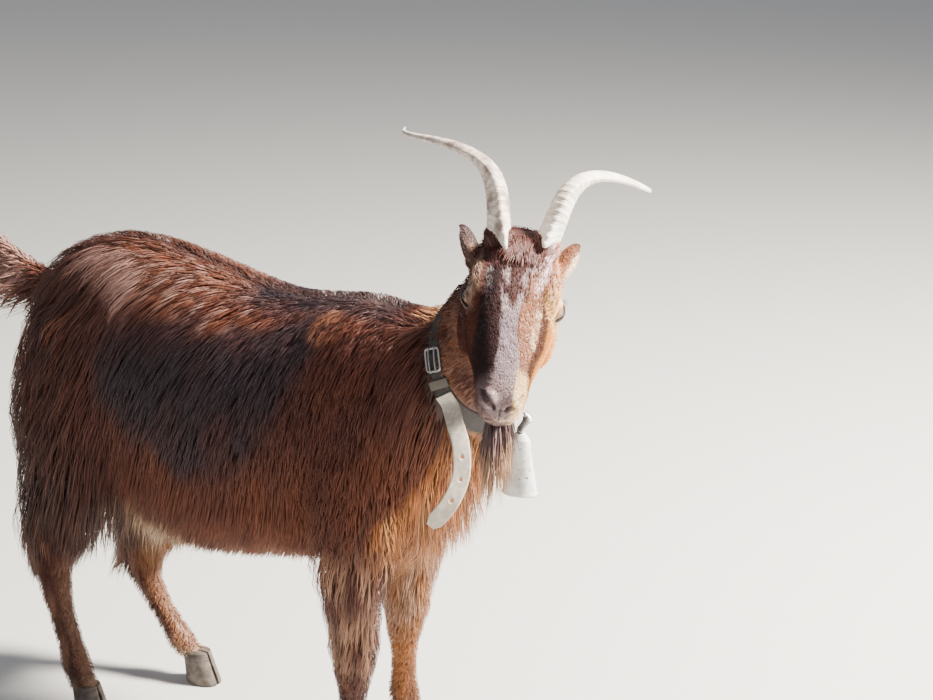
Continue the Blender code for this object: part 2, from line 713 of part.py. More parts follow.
def lid_path(side, upper):
    """The edge of one lid as an arc over the eyeball, corner to corner."""
    t = np.linspace(0, math.pi, 9)
    along = np.cos(t) * 0.0155
    rise = np.sin(t) * (0.0108 if upper > 0 else 0.0092)
    out = np.sqrt(np.maximum((EYE_RADIUS + 0.0016) ** 2 - 0.55 * along**2 - rise**2, 1e-6)) * 0.93
    normal = Vector((0.22, side * 0.90, 0.30)).normalized()
    length = Vector((1.0, 0.0, -0.25))
    length = (length - normal * length.dot(normal)).normalized()
    raise_by = normal.cross(length) * side
    if raise_by.z < 0:
        raise_by = -raise_by
    centre = Vector((EYE_PLACE[0], side * EYE_PLACE[1], EYE_PLACE[2]))
    return np.array([centre + length * a + raise_by * r * upper + normal * o
                     for a, r, o in zip(along, rise, out)])


def lid_ridge(side, upper):
    path = lid_path(side, upper)
    return tube("lid", path, np.array([1, 1.1, 1.2, 1.3, 1.3, 1.3, 1.2, 1.1, 1]) * 0.0026, around=8)


def mouth_cutter():
    """A thin curved blade along the line of the mouth."""
    t = np.linspace(-1, 1, 11)
    bend = t * math.radians(118)
    along = 0.182 + 0.068 * np.cos(bend * 0.76)
    across = 0.034 * np.sin(bend * 0.84)
    rise = -0.0585 - 0.010 * np.abs(t) ** 1.5
    rows = []
    for inner, half in ((0.80, 0.0003), (1.12, 0.0011)):
        for sign in (-1, 1):
            x = 0.182 + (along - 0.182) * inner
            rows.append(np.stack([x, across * inner, rise + sign * half], 1))
    rings = np.stack([rows[0], rows[1], rows[3], rows[2]], 1)
    cutter = loft("mouth_line", rings)
    move_points(cutter, place_head(points_of(cutter)))
    return cutter


def nostril_cutter(side):
    """A slanted comma-shaped hollow that follows the wing of the nostril."""
    t = np.linspace(0, 1, 7)
    across = -0.50 + 1.25 * t
    rise = -0.55 + 1.05 * t**0.8
    ahead = np.sqrt(np.maximum(1.35 - across**2 - rise**2, 0.05))
    way = np.stack([ahead, side * across, rise], 1)
    way /= np.linalg.norm(way, axis=1, keepdims=True)
    wing = np.array([NOSTRIL_WING[0], side * NOSTRIL_WING[1], NOSTRIL_WING[2]])
    radii = 0.0012 + 0.0028 * np.sin(math.pi * t)
    cutter = tube("nostril", wing + way * np.array(WING_RADII) * 0.97, radii, around=5)
    move_points(cutter, place_head(points_of(cutter)))
    return cutter


def horn_path(side, places):
    """The horn's centre line, from the control points of one smooth curve."""
    t = np.asarray(places, float)[:, None]
    curve = HORN_CURVES[side]
    degree = len(curve) - 1
    points = sum(math.comb(degree, k) * (1 - t) ** (degree - k) * t**k * curve[k] for k in range(degree + 1))
    return place_head(points)


def make_horn(name, side, grow=0.0):
    """A ridged horn, keeled in front, that sweeps up, back and outward; grown, it cuts its own pit."""
    places = HORN_START + (1 - HORN_START) * np.linspace(0, 1, HORN_RINGS) ** 0.9
    path = horn_path(side, places)
    heading = np.gradient(path, axis=0)
    heading /= np.linalg.norm(heading, axis=1, keepdims=True)
    path[0] -= heading[0] * grow
    front = np.array(HEAD.to_3x3() @ Vector((0.8, -0.1 * side, 0.6)))
    keel = front - heading * (heading @ front)[:, None]
    keel /= np.linalg.norm(keel, axis=1, keepdims=True)
    across = np.cross(heading, keel)
    angles = np.arange(8) * 2 * math.pi / 8
    half_long, half_wide = (np.interp(places, HORN_SIZES[:, 0], HORN_SIZES[:, k]) for k in (1, 2))
    ridge = 1 + 0.05 * np.cos(places**0.8 * 2 * math.pi * HORN_RIDGES) * (1 - places) ** 0.5
    rings = []
    for i in range(len(places)):
        long = half_long[i] * ridge[i] * (1 + 0.10 * (np.cos(angles) > 0.9)) + grow
        wide = half_wide[i] * ridge[i] + grow
        rings.append(path[i] + (long * np.cos(angles))[:, None] * keel[i]
                     + (wide * np.sin(angles))[:, None] * across[i])
    return loft(name, np.array(rings))


def make_ear(name, side):
    """A cupped leaf on a short round stalk, open outwards."""
    root = Vector((EAR_ROOT.x, side * EAR_ROOT.y, EAR_ROOT.z))
    tip = Vector((EAR_TIP.x, side * EAR_TIP.y, EAR_TIP.z))
    axis = (tip - root).normalized()
    start = root + axis * 0.004
    length = (tip - start).length
    open_way = Vector((0.75, side * 0.65, -0.15))
    open_way = (open_way - axis * open_way.dot(axis)).normalized()
    across = axis.cross(open_way).normalized()
    rows, columns = 7, 6
    outer, inner = [], []
    for i in range(rows):
        t = i / (rows - 1)
        wide = 0.0115 + (EAR_HALF_WIDTH - 0.0115) * math.sin(min(t * 1.5, 1.0) * math.pi / 2)
        wide *= math.sqrt(max(1 - max(t - 0.45, 0) ** 2 / 0.55**2, 0.0)) * 0.97 + 0.03
        spread = math.radians(165 - 75 * min(t * 1.4, 1))
        thick = 0.0030 * (1 - 0.6 * t) + 0.0002
        bend = -0.10 * length * t * t
        centre = start + axis * length * t + open_way * bend
        for radii, ring in ((wide, outer), (max(wide - thick, 0.0004), inner)):
            for j in range(columns + 1):
                angle = spread * (2 * j / columns - 1)
                back = open_way * radii * math.cos(angle) * 0.75
                ring.append(centre - back + across * radii * math.sin(angle))
    count = rows * (columns + 1)
    points = outer + inner
    faces = []
    width = columns + 1
    for i in range(rows - 1):
        for j in range(columns):
            a = i * width + j
            faces += [(a, a + 1, a + width + 1), (a, a + width + 1, a + width)]
            b = a + count
            faces += [(b, b + width + 1, b + 1), (b, b + width, b + width + 1)]
    for i in range(rows - 1):
        for j in (0, columns):
            a = i * width + j
            faces += [(a, a + width, a + width + count), (a, a + width + count, a + count)]
    for i in (0, rows - 1):
        for j in range(columns):
            a = i * width + j
            faces += [(a, a + 1, a + 1 + count), (a, a + 1 + count, a + count)]
    leaf = mesh_object("ear", place_head(points), faces)
    stalk = tube("stalk", place_head([root - axis * 0.014, root + axis * 0.006, root + axis * 0.014,
                                      root + axis * 0.021]), [0.0128, 0.0122, 0.0105, 0.0060], around=6)
    return fuse(name, [leaf, stalk])


def make_tail(rng):
    """The raised tail with a fan of long hair at both sides and beyond its tip."""
    t = np.linspace(0, 1, 6)
    path = [TAIL_ROOT + (TAIL_TIP - TAIL_ROOT) * s + Vector((0.028 * (1 - s), 0, -0.012 * s * (1 - s) * 4))
            for s in t]
    path[0] = path[0] + Vector((0.03, 0, -0.02))
    core = tube("tail", path, 0.024 - 0.011 * t, around=8, flat=0.8)
    tree = surface_tree(core)
    locks = [core]
    for k in range(12):
        side = 1 if k % 2 else -1
        s = 0.24 + 0.063 * k
        middle = TAIL_ROOT + (TAIL_TIP - TAIL_ROOT) * min(s, 0.97)
        root = middle + Vector((0.0, side * 0.014, -0.010))
        out = rng.uniform(0.10, 0.45) * side
        down = rng.uniform(-0.95, -0.35) if k < 10 else rng.uniform(-0.15, 0.25)
        locks.append(lock(tree, root, straight_lie(Vector((-0.85, out, down))), rng.uniform(0.075, 0.100),
                          0.027, 0.0045, 0.006, fall=0.4, sink=0.005))
    return fuse("tail", locks)


def beard_locks(tree, rng):
    """The beard under the chin, parted into long tapering strands."""
    locks = []
    for k in range(9):
        spread = (k - 4) / 4
        root = Vector((0.205 + 0.012 * (k % 3), 0.012 * spread, -0.090))
        world = HEAD @ root
        lean = Vector((0.10 * spread, 0.08 * spread + rng.uniform(-0.05, 0.05), -1.0))
        locks.append(lock(tree, world, straight_lie(lean), rng.uniform(0.100, 0.142),
                          0.019, 0.0055, 0.003, fall=0.75, sink=0.005))
    return locks


def forelock_locks(tree, rng):
    """Short hair between and before the horns."""
    locks = []
    for k in range(7):
        spread = (k - 3) / 3
        root = HEAD @ Vector((0.010 + 0.010 * (k % 2), 0.012 * spread, 0.006))
        lean = HEAD.to_3x3() @ Vector((0.9, 0.28 * spread + rng.uniform(-0.1, 0.1), 0.10))
        locks.append(lock(tree, root, straight_lie(lean), rng.uniform(0.036, 0.052),
                          0.014, 0.004, 0.006, sink=0.004))
    return locks


def make_hoof(name, leg):
    """A cloven hoof with a flat sole, split from the toe to the heel."""
    centre = LEGS[leg][-1]
    rows = [(0.0, 0.0095, 0.0290, 0.0210), (0.004, 0.0095, 0.0298, 0.0216), (0.022, 0.005, 0.0265, 0.0208),
            (CORONET_HEIGHT - GAP, 0.0, 0.0232, 0.0198)]
    angles = np.arange(12) * 2 * math.pi / 12
    rings = []
    for height, shift, long, wide in rows:
        ring = np.zeros((12, 3))
        ring[:, 0] = centre[0] + shift + long * np.sign(np.cos(angles)) * np.abs(np.cos(angles)) ** 0.9
        ring[:, 1] = centre[1] + wide * np.sign(np.sin(angles)) * np.abs(np.sin(angles)) ** 0.8
        ring[:, 2] = height
        rings.append(ring)
    hoof = loft(name, np.array(rings))
    toe, heel = centre[0] + 0.06, centre[0] - 0.014
    outline = [(heel, -0.01), (toe, -0.01), (toe, 0.034), (centre[0] + 0.010, 0.034)]
    cut(hoof, prism("cleft", outline, centre[1] - 0.0014, centre[1] + 0.0014))
    return hoof


def collar_slack(angles):
    """How far the loose collar stands off the neck: most where the bell pulls it down."""
    return COLLAR_SLACK * np.maximum(np.cos(angles - math.radians(HANGER_ANGLE)), 0) ** 4


def collar_band(name, inner, outer, half, around=26):
    """A closed band round the neck; inner and outer are the heights of its faces over the coat's core."""
    corners = []
    for height, sign in ((inner, -1), (outer, -1), (outer, 1), (inner, 1)):
        place = COLLAR_STATION + sign * half / STATION_STEP
        angles = np.arange(around) * 2 * math.pi / around
        ring = trunk_ring(np.full(around, place), angles, CORE_SHARE)
        middle = ring.mean(0)
        away = ring - middle
        away /= np.linalg.norm(away, axis=1, keepdims=True)
        lift = height + (collar_slack(angles)[:, None] if inner > -COLLAR_SINK - GAP else 0)
        corners.append(ring + away * lift)
    points = np.concatenate(corners)
    faces = []
    for a in range(4):
        b = (a + 1) % 4
        for j in range(around):
            k = (j + 1) % around
            faces.append((a * around + j, a * around + k, b * around + k, b * around + j))
    return mesh_object(name, points, faces)


def collar_point(angle, height):
    """A point over the collar, with the outward way square to the neck and the way round it."""
    turn = math.radians(angle)
    ring = trunk_ring(np.full(64, COLLAR_STATION), np.arange(64) * 2 * math.pi / 64, CORE_SHARE)
    stations = COLLAR_STATION + np.array([0, 0, -0.2, 0.2])
    here, ahead, low, high = trunk_ring(stations, turn + np.array([0, 0.05, 0, 0]), CORE_SHARE)
    radial = Vector(here - ring.mean(0)).normalized()
    way = Vector(ahead - here).normalized()
    out = way.cross(Vector(high - low)).normalized()
    if out.dot(radial) < 0:
        out.negate()
    return Vector(here) + radial * (height + collar_slack(turn)), out, way


def bent_frame(name, middle, out, way, size, bar):
    """A rectangular metal frame lying over the strap: outer size, bar thickness."""
    across = out.cross(way).normalized()
    half_long, half_wide = size[0] / 2, size[1] / 2
    points, faces = [], []
    for level in (0.0, bar):
        for shrink in (0.0, bar):
            for u, v in ((-1, -1), (1, -1), (1, 1), (-1, 1)):
                points.append(middle + out * level + way * u * (half_long - shrink)
                              + across * v * (half_wide - shrink))
    for j in range(4):
        k = (j + 1) % 4
        faces += [(j, k, 4 + k, 4 + j), (8 + j, 12 + j, 12 + k, 8 + k),
                  (j, 8 + j, 8 + k, k), (4 + j, 4 + k, 12 + k, 12 + j)]
    return mesh_object(name, points, faces)


def strap_rows():
    """The strap's middle line down from the collar, with the ways across and out of it."""
    height = COLLAR_THICKNESS - COLLAR_SINK + 2 * GAP + STRAP_HALF_THICKNESS
    starts = [collar_point(angle, height) for angle in STRAP_ANGLES]
    route = [tuple(start[0]) for start in starts] + [tuple(point) for point in STRAP_PATH]
    places = np.linspace(0, len(route) - 1, 17)
    path = smooth_rows(route, places)
    heading = np.gradient(path, axis=0)
    heading /= np.linalg.norm(heading, axis=1, keepdims=True)
    _, out_way, round_way = starts[0]
    square = np.array(out_way.cross(round_way))
    ahead = np.array([0.85, 0.45, -0.05])
    square *= np.sign(square @ ahead)
    blend_in = np.clip((places - 1) / 1.5, 0, 1)[:, None]
    ahead = square * (1 - blend_in) + ahead * blend_in
    across = ahead - heading * (heading * ahead).sum(1, keepdims=True)
    across /= np.linalg.norm(across, axis=1, keepdims=True)
    return path, across, np.cross(heading, across)


def strap_band(name, grow):
    """The strap without its holes, grown all round."""
    path, across, out = strap_rows()
    half = np.full(len(path), STRAP_HALF_WIDTH)
    half[-2:] = (0.0100, 0.0060)
    half = half[:, None] + grow
    thick = STRAP_HALF_THICKNESS + grow
    rings = np.stack([path + across * half * u + out * v * thick
                      for u, v in ((-1, -1), (1, -1), (1, 1), (-1, 1))], 1)
    return loft(name, rings)


def make_strap():
    """The stiff free end of the collar strap, which leaves it beside the keeper, with punched holes."""
    strap = strap_band("strap_end", 0.0)
    path, _, out = strap_rows()
    for index in (9, 11, 13):
        middle, way = Vector(path[index]), Vector(out[index])
        hole = tube("hole", [middle - way * 0.008, middle, middle + way * 0.008], 0.0024, around=6)
        cut(strap, hole)
    return strap


def bell_profile(drop, grow):
    """Half width of the bell at a drop below its crown, as a share of its height."""
    return (0.0125 + 0.0105 * drop**1.3 + grow) * min(1.0, 0.55 + 4.5 * drop)


def make_bell():
    """A tall thin bell, open below, its wall turned in one profile."""
    outer = [(s, bell_profile(s, 0.0)) for s in (0.0, 0.05, 0.2, 0.5, 0.8, 1.0)]
    angles = np.arange(14) * 2 * math.pi / 14
    rings = []
    for share, radius in outer:
        rings.append([(radius * 1.12 * math.cos(a), radius * 0.86 * math.sin(a), -BELL_HEIGHT * share)
                      for a in angles])
    top = BELL_WALL * 1.4 / BELL_HEIGHT
    for share in (1.0, 0.8, 0.5, 0.2, top):
        radius = bell_profile(share, -BELL_WALL)
        rings.append([(radius * 1.12 * math.cos(a), radius * 0.86 * math.sin(a), -BELL_HEIGHT * share)
                      for a in angles])
    rings = np.array(rings) + np.array(BELL_TOP)
    return loft("bell", rings)


def make_clapper():
    """A rod with a ball, hung from the crown inside the bell."""
    top = BELL_TOP + Vector((0, 0, -BELL_WALL * 1.4 - GAP))
    profile = [(0.0, 0.0016), (0.02, 0.0014), (0.045, 0.0014), (0.052, 0.0030), (0.057, 0.0052),
               (0.063, 0.0060), (0.069, 0.0052), (0.073, 0.0030), (0.075, 0.0012)]
    path = [top - Vector((0, 0, drop)) for drop, _ in profile]
    return tube("bell_clapper", path, [radius for _, radius in profile], 7)


def make_hanger():
    """The metal loop that carries the bell off the collar."""
    top, out, _ = collar_point(HANGER_ANGLE, COLLAR_THICKNESS - COLLAR_SINK + 2 * GAP)
    low = BELL_TOP - Vector((0, 0, 0.002))
    above = low + Vector((0, 0, 0.009))
    bulge = (top + out * 0.006 + above) / 2 + Vector((0.006, 0.004, 0.003))
    ends = [top, top + out * 0.006, bulge, above, low]
    path = smooth_rows([tuple(point) for point in ends], np.linspace(0, 4, 9))
    radii = np.interp(np.arange(9), (0, 4, 8), (0.0050, 0.0080, 0.0058))
    hanger = tube("bell_hanger", path, radii, 6, flat=0.45)
    cut(hanger, boxed("below", BELL_TOP + Vector((0, 0, GAP)), (0, 0, -1), 0.03, 0.012))
    return hanger


def centre_on_floor(objects):
    """Moves everything in x and y so that the box's middle is above the origin."""
    low = np.min([points_of(obj).min(0) for obj in objects], axis=0)
    high = np.max([points_of(obj).max(0) for obj in objects], axis=0)
    shift = -(low + high) / 2
    shift[2] = -low[2]
    for obj in objects:
        move_points(obj, points_of(obj) + shift)


def make_head(rng):
    """The head with its beard, forelock, mouth line, nostrils, eye sockets and horn pits, and its eyes."""
    stub_places = np.linspace(NECK_STUB_START, len(TRUNK) - 1.0, 12)
    stub = loft("neck_stub", trunk_rings(stub_places, 36, CORE_SHARE))
    core = blend("head", [stub] + head_lumps(), HEAD_VOXEL, HEAD_TRIANGLES, rounds=4)
    tree = surface_tree(core)
    clearance = grown_copy(core, "clearance", GAP)
    head = fuse("head", [core] + beard_locks(tree, rng) + forelock_locks(tree, rng))
    eyes = []
    for side, name in SIDES:
        centre = HEAD @ Vector((EYE_PLACE[0], side * EYE_PLACE[1], EYE_PLACE[2]))
        cut(head, ball("socket", centre, [EYE_RADIUS + 2 * GAP] * 3, segments=10))
        eye = ball("eye_" + name, centre, [EYE_RADIUS] * 3, segments=10)
        paint(eye, (0.35, 0.20, 0.05), 0.1)
        eyes.append(eye)
        cut(head, nostril_cutter(side))
        cut(head, make_horn("pit", side, GAP))
    cut(head, mouth_cutter())
    keep_largest(head)
    paint(head, (0.20, 0.09, 0.05), 0.8)
    return head, clearance, eyes


def make_horns_and_ears(clearance):
    """The horns, and the ears cut clear of the head."""
    made = []
    for side, name in SIDES:
        ear = make_ear("ear_" + name, side)
        cut(ear, copy_of(clearance, "near_ear"))
        keep_largest(ear)
        paint(ear, (0.16, 0.07, 0.04), 0.8)
        horn = make_horn("horn_" + name, side)
        paint(horn, (0.55, 0.47, 0.38), 0.55)
        made += [ear, horn]
    bpy.data.objects.remove(clearance)
    return made


def part_head_from_body(head, body):
    """The throat plane, with the head in front of it and the neck behind."""
    throat = HEAD @ Vector(THROAT_PLACE)
    way = (HEAD.to_3x3() @ Vector(THROAT_WAY)).normalized()
    cut(head, boxed("throat", throat, -way, THROAT_REACH, THROAT_HALF_WIDTH))
    keep_largest(head)
    cut(body, boxed("throat", throat - way * GAP, way, THROAT_REACH, THROAT_HALF_WIDTH))
    keep_largest(body)


def make_worn_pieces():
    """Buckle, keeper, strap end, bell, clapper and hanger on the collar, which comes first."""
    collar = collar_band("collar", -COLLAR_SINK, COLLAR_THICKNESS - COLLAR_SINK, COLLAR_HALF_WIDTH)
    paint(collar, (0.09, 0.06, 0.05), 0.6)
    over = COLLAR_THICKNESS - COLLAR_SINK + 3 * GAP
    middle, out, way = collar_point(BUCKLE_ANGLE, over)
    buckle = bent_frame("buckle_frame", middle, out, way, BUCKLE_SIZE, BUCKLE_BAR)
    clear_of(buckle, collar)
    paint(buckle, (0.55, 0.53, 0.50), 0.35, 1.0)
    middle, out, way = collar_point(KEEPER_ANGLE, over)
    keeper = bent_frame("buckle_keeper", middle, out, way, KEEPER_SIZE, BUCKLE_BAR)
    clear_of(keeper, collar, buckle)
    paint(keeper, (0.30, 0.27, 0.25), 0.5)
    strap = make_strap()
    clear_of(strap, collar, keeper)
    paint(strap, (0.70, 0.62, 0.48), 0.7)
    bell = make_bell()
    paint(bell, (0.85, 0.86, 0.88), 0.35)
    clapper = make_clapper()
    paint(clapper, (0.4, 0.4, 0.4), 0.4, 1.0)
    hanger = make_hanger()
    clear_of(hanger, collar)
    paint(hanger, (0.45, 0.47, 0.50), 0.4, 1.0)
    return [collar, buckle, keeper, strap, hanger, bell, clapper]


def leg_block(name, spread):
    """The block that holds one leg's node, seen from the side, wider by the spread."""
    if name.startswith("hind"):
        outline = [(-0.70, HIND_TOP + spread), (STIFLE_FRONT + 0.01 + spread, HIND_TOP + spread),
                   (STIFLE_FRONT + spread, 0.30), (STIFLE_FRONT + spread, -0.05), (-0.70, -0.05)]
    else:
        outline = [(FORE_BACK - spread, FORE_TOP + spread), (FORE_FRONT + spread, FORE_TOP + spread),
                   (FORE_FRONT + spread, -0.05), (FORE_BACK - spread, -0.05)]
    side = -1 if name.endswith("right") else 1
    inner, outer = side * (LEG_INSIDE - spread), side * 0.40
    return prism("block", outline, min(inner, outer), max(inner, outer))


def part_legs(body):
    """Each leg parted from the body, cut off at the coronet, with its hoof under it."""
    made = []
    for name in LEGS:
        leg = copy_of(body, name)
        cut(leg, leg_block(name, 0.0), "INTERSECT")
        cut(body, leg_block(name, GAP))
        cut(leg, boxed("below", (*LEGS[name][-1][:2], CORONET_HEIGHT), (0, 0, -1), 0.2, 0.2))
        keep_largest(leg)
        paint(leg, (0.28, 0.12, 0.06), 0.8)
        hoof = make_hoof(name.replace("leg", "hoof"), name)
        paint(hoof, (0.10, 0.07, 0.06), 0.5)
        made += [leg, hoof]
    keep_largest(body)
    return made


def build():
    clear_scene()
    rng = random.Random(SEED)

    # Body with its locks
    body = make_body_core()
    tree = surface_tree(body)
    locks = trunk_locks(tree, rng) + crest_locks(tree, rng) + neck_locks(tree, rng) + belly_locks(tree, rng)
    for name in LEGS:
        locks += leg_locks(tree, rng, name)
    body = fuse("body", [body] + locks)

    # Head
    head, clearance, eyes = make_head(rng)
    horns_and_ears = make_horns_and_ears(clearance)
    nodes = [head] + eyes + horns_and_ears
    part_head_from_body(head, body)
    clear_of(body, *horns_and_ears)

    # Tail
    body = fuse("body", [body, make_tail(rng)])
    tail_way = (TAIL_TIP - TAIL_ROOT).normalized()
    tail = part_by_box(body, "tail", TAIL_ROOT + tail_way * 0.030, tail_way, 0.30, 0.16)
    paint(tail, (0.50, 0.24, 0.11), 0.8)
    nodes.append(tail)

    # Collar in its groove in the neck's coat, and what hangs on it
    cut(body, collar_band("groove", -COLLAR_SINK - GAP, 0.060, COLLAR_HALF_WIDTH + GAP))
    worn = make_worn_pieces()
    cut(body, strap_band("near_strap", 2 * GAP))
    clear_of(body, *[piece for piece in worn if piece.name not in ("collar", "strap_end", "bell_clapper")])
    nodes += worn

    # Legs, neck and torso
    nodes += part_legs(body)
    neck_base, neck_way = Vector(NECK_BASE), Vector(NECK_WAY).normalized()
    neck = part_by_box(body, "neck", neck_base, neck_way, 0.60, 0.40)
    paint(neck, (0.24, 0.10, 0.055), 0.8)
    body.name = "torso"
    paint(body, (0.22, 0.09, 0.05), 0.8)
    nodes += [neck, body]

    centre_on_floor(nodes)
    for node in nodes:
        node.data.shade_smooth()
        node.data.set_sharp_from_angle(angle=math.radians(40))


build()
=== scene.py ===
# %% [markdown]
# A life-size alpine goat with a long coat, standing still with its head turned to its right.
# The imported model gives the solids; this lesson dresses them. Under the coat lies one skin, made of
# lofted tubes melted together, and over it grow many thousand flat tapering tufts of hair.
# Everything is worked out in the goat's own modelling frame, in metres, with +X to the front and +Y
# to its left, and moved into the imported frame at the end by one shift.
# %% Load the frame
import math

import bpy
import numpy as np
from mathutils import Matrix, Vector


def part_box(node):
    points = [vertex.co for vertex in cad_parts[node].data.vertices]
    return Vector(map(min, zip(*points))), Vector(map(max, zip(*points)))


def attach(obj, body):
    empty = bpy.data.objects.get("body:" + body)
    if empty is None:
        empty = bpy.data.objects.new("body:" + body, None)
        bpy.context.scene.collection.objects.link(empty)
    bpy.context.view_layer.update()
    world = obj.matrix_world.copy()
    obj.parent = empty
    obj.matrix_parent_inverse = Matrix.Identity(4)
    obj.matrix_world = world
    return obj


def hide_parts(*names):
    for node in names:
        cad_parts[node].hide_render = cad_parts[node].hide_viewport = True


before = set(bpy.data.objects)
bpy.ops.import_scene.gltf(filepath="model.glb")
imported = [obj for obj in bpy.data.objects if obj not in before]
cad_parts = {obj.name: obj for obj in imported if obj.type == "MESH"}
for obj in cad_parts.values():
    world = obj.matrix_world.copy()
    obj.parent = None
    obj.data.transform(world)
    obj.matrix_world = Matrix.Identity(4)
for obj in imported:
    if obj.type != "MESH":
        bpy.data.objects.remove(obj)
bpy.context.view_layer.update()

# %% [markdown]
# The head has its own frame: its first axis runs from the poll down the face, the second to the
# animal's left, the third out of the forehead. Three angles turn it away from the body.
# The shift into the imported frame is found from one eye, whose place both frames know.
# %% The head's frame
POLL = np.array([0.490, -0.047, 0.851])
HEAD_YAW, HEAD_PITCH, HEAD_ROLL = -66, 38, -12.5
EYE_PLACE = np.array([0.085, 0.0510, -0.0355])
EYE_RADIUS = 0.0145
SIDES = {"right": -1, "left": 1}


def unit(vectors):
    """The same arrows with length one."""
    return vectors / np.maximum(np.linalg.norm(vectors, axis=-1, keepdims=True), 1e-9)


def head_axes():
    """Three unit rows: along the face, to the left, out of the forehead."""
    yaw, pitch, roll = np.radians([HEAD_YAW, HEAD_PITCH, HEAD_ROLL])
    along = np.array([np.cos(yaw) * np.cos(pitch), np.sin(yaw) * np.cos(pitch), -np.sin(pitch)])
    level = np.array([-np.sin(yaw), np.cos(yaw), 0.0])
    left = np.cos(roll) * level + np.sin(roll) * np.cross(along, level)
    return np.stack([along, left, np.cross(along, left)])


HEAD_AXES = head_axes()


def from_head(points):
    """Head frame to modelling frame: the sum of each coordinate times its axis, plus the poll."""
    return np.asarray(points, float) @ HEAD_AXES + POLL


def to_head(points):
    """Modelling frame to head frame."""
    return (np.asarray(points, float) - POLL) @ HEAD_AXES.T


def mirrored(place, side):
    """A place of the left side, or its mirror image."""
    return np.array(place) * (1, side, 1)


eye_low, eye_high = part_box("eye_right")
SHIFT = (np.array(eye_low) + np.array(eye_high)) / 2 - from_head(mirrored(EYE_PLACE, -1))
print("shift into the packed frame:", SHIFT.round(4))

# %% [markdown]
# The animal's form is a short table: each row is one cross section. Between the rows a smooth curve
# is read that passes through every row, so a few sections give a soft outline.
# %% Sections of the trunk, the legs and the skull
# Crest x, y, z, keel x, y, z, half width, coat depth above, beside and below, turn in degrees
TRUNK = np.array([
    (-0.385, 0.000, 0.655, -0.372, 0.000, 0.500, 0.040, 0.010, 0.018, 0.020, 0),
    (-0.355, 0.000, 0.700, -0.340, 0.000, 0.430, 0.078, 0.010, 0.024, 0.026, 0),
    (-0.300, 0.000, 0.734, -0.285, 0.000, 0.390, 0.100, 0.012, 0.026, 0.030, 0),
    (-0.235, 0.000, 0.752, -0.220, 0.000, 0.368, 0.114, 0.012, 0.024, 0.030, 0),
    (-0.165, 0.000, 0.753, -0.150, 0.000, 0.350, 0.132, 0.012, 0.024, 0.028, 0),
    (-0.085, 0.000, 0.738, -0.070, 0.000, 0.328, 0.150, 0.012, 0.022, 0.026, 0),
    (0.000, 0.000, 0.718, 0.010, 0.000, 0.330, 0.152, 0.012, 0.022, 0.024, 0),
    (0.080, 0.000, 0.706, 0.100, 0.000, 0.342, 0.142, 0.012, 0.020, 0.022, 0),
    (0.160, 0.000, 0.712, 0.190, 0.000, 0.358, 0.122, 0.012, 0.020, 0.026, 0),
    (0.225, 0.000, 0.716, 0.290, 0.000, 0.385, 0.110, 0.014, 0.022, 0.030, 0),
    (0.280, 0.000, 0.708, 0.345, 0.000, 0.440, 0.098, 0.014, 0.022, 0.032, 0),
    (0.322, 0.000, 0.708, 0.378, 0.000, 0.515, 0.080, 0.014, 0.020, 0.026, -4),
    (0.352, -0.002, 0.727, 0.412, -0.006, 0.568, 0.066, 0.014, 0.018, 0.022, -14),
    (0.386, -0.006, 0.760, 0.440, -0.022, 0.612, 0.057, 0.014, 0.017, 0.018, -28),
    (0.424, -0.016, 0.798, 0.460, -0.052, 0.655, 0.052, 0.010, 0.014, 0.012, -42),
    (0.455, -0.034, 0.820, 0.474, -0.085, 0.700, 0.042, 0.006, 0.008, 0.006, -52),
])
CREST, KEEL, (HALF_WIDTH, ABOVE, BESIDE, BELOW, TURN) = slice(0, 3), slice(3, 6), range(6, 11)
NECK_END = 12.75
NARROWER_ABOVE = 0.13
# Leg centres: hip or shoulder, stifle or elbow, hock or knee, fetlock, coronet
LEGS = {
    "hind_leg_right": [(-0.250, -0.060, 0.640), (-0.253, -0.090, 0.430), (-0.325, -0.094, 0.265),
                       (-0.287, -0.094, 0.085), (-0.266, -0.094, 0.042)],
    "hind_leg_left": [(-0.250, 0.060, 0.640), (-0.226, 0.090, 0.410), (-0.312, 0.094, 0.207),
                      (-0.236, 0.094, 0.070), (-0.198, 0.094, 0.042)],
    "foreleg_right": [(0.245, -0.070, 0.600), (0.247, -0.096, 0.400), (0.243, -0.088, 0.235),
                      (0.236, -0.088, 0.090), (0.252, -0.088, 0.042)],
    "foreleg_left": [(0.240, 0.070, 0.600), (0.228, 0.096, 0.400), (0.214, 0.088, 0.235),
                     (0.208, 0.088, 0.090), (0.224, 0.088, 0.042)],
}
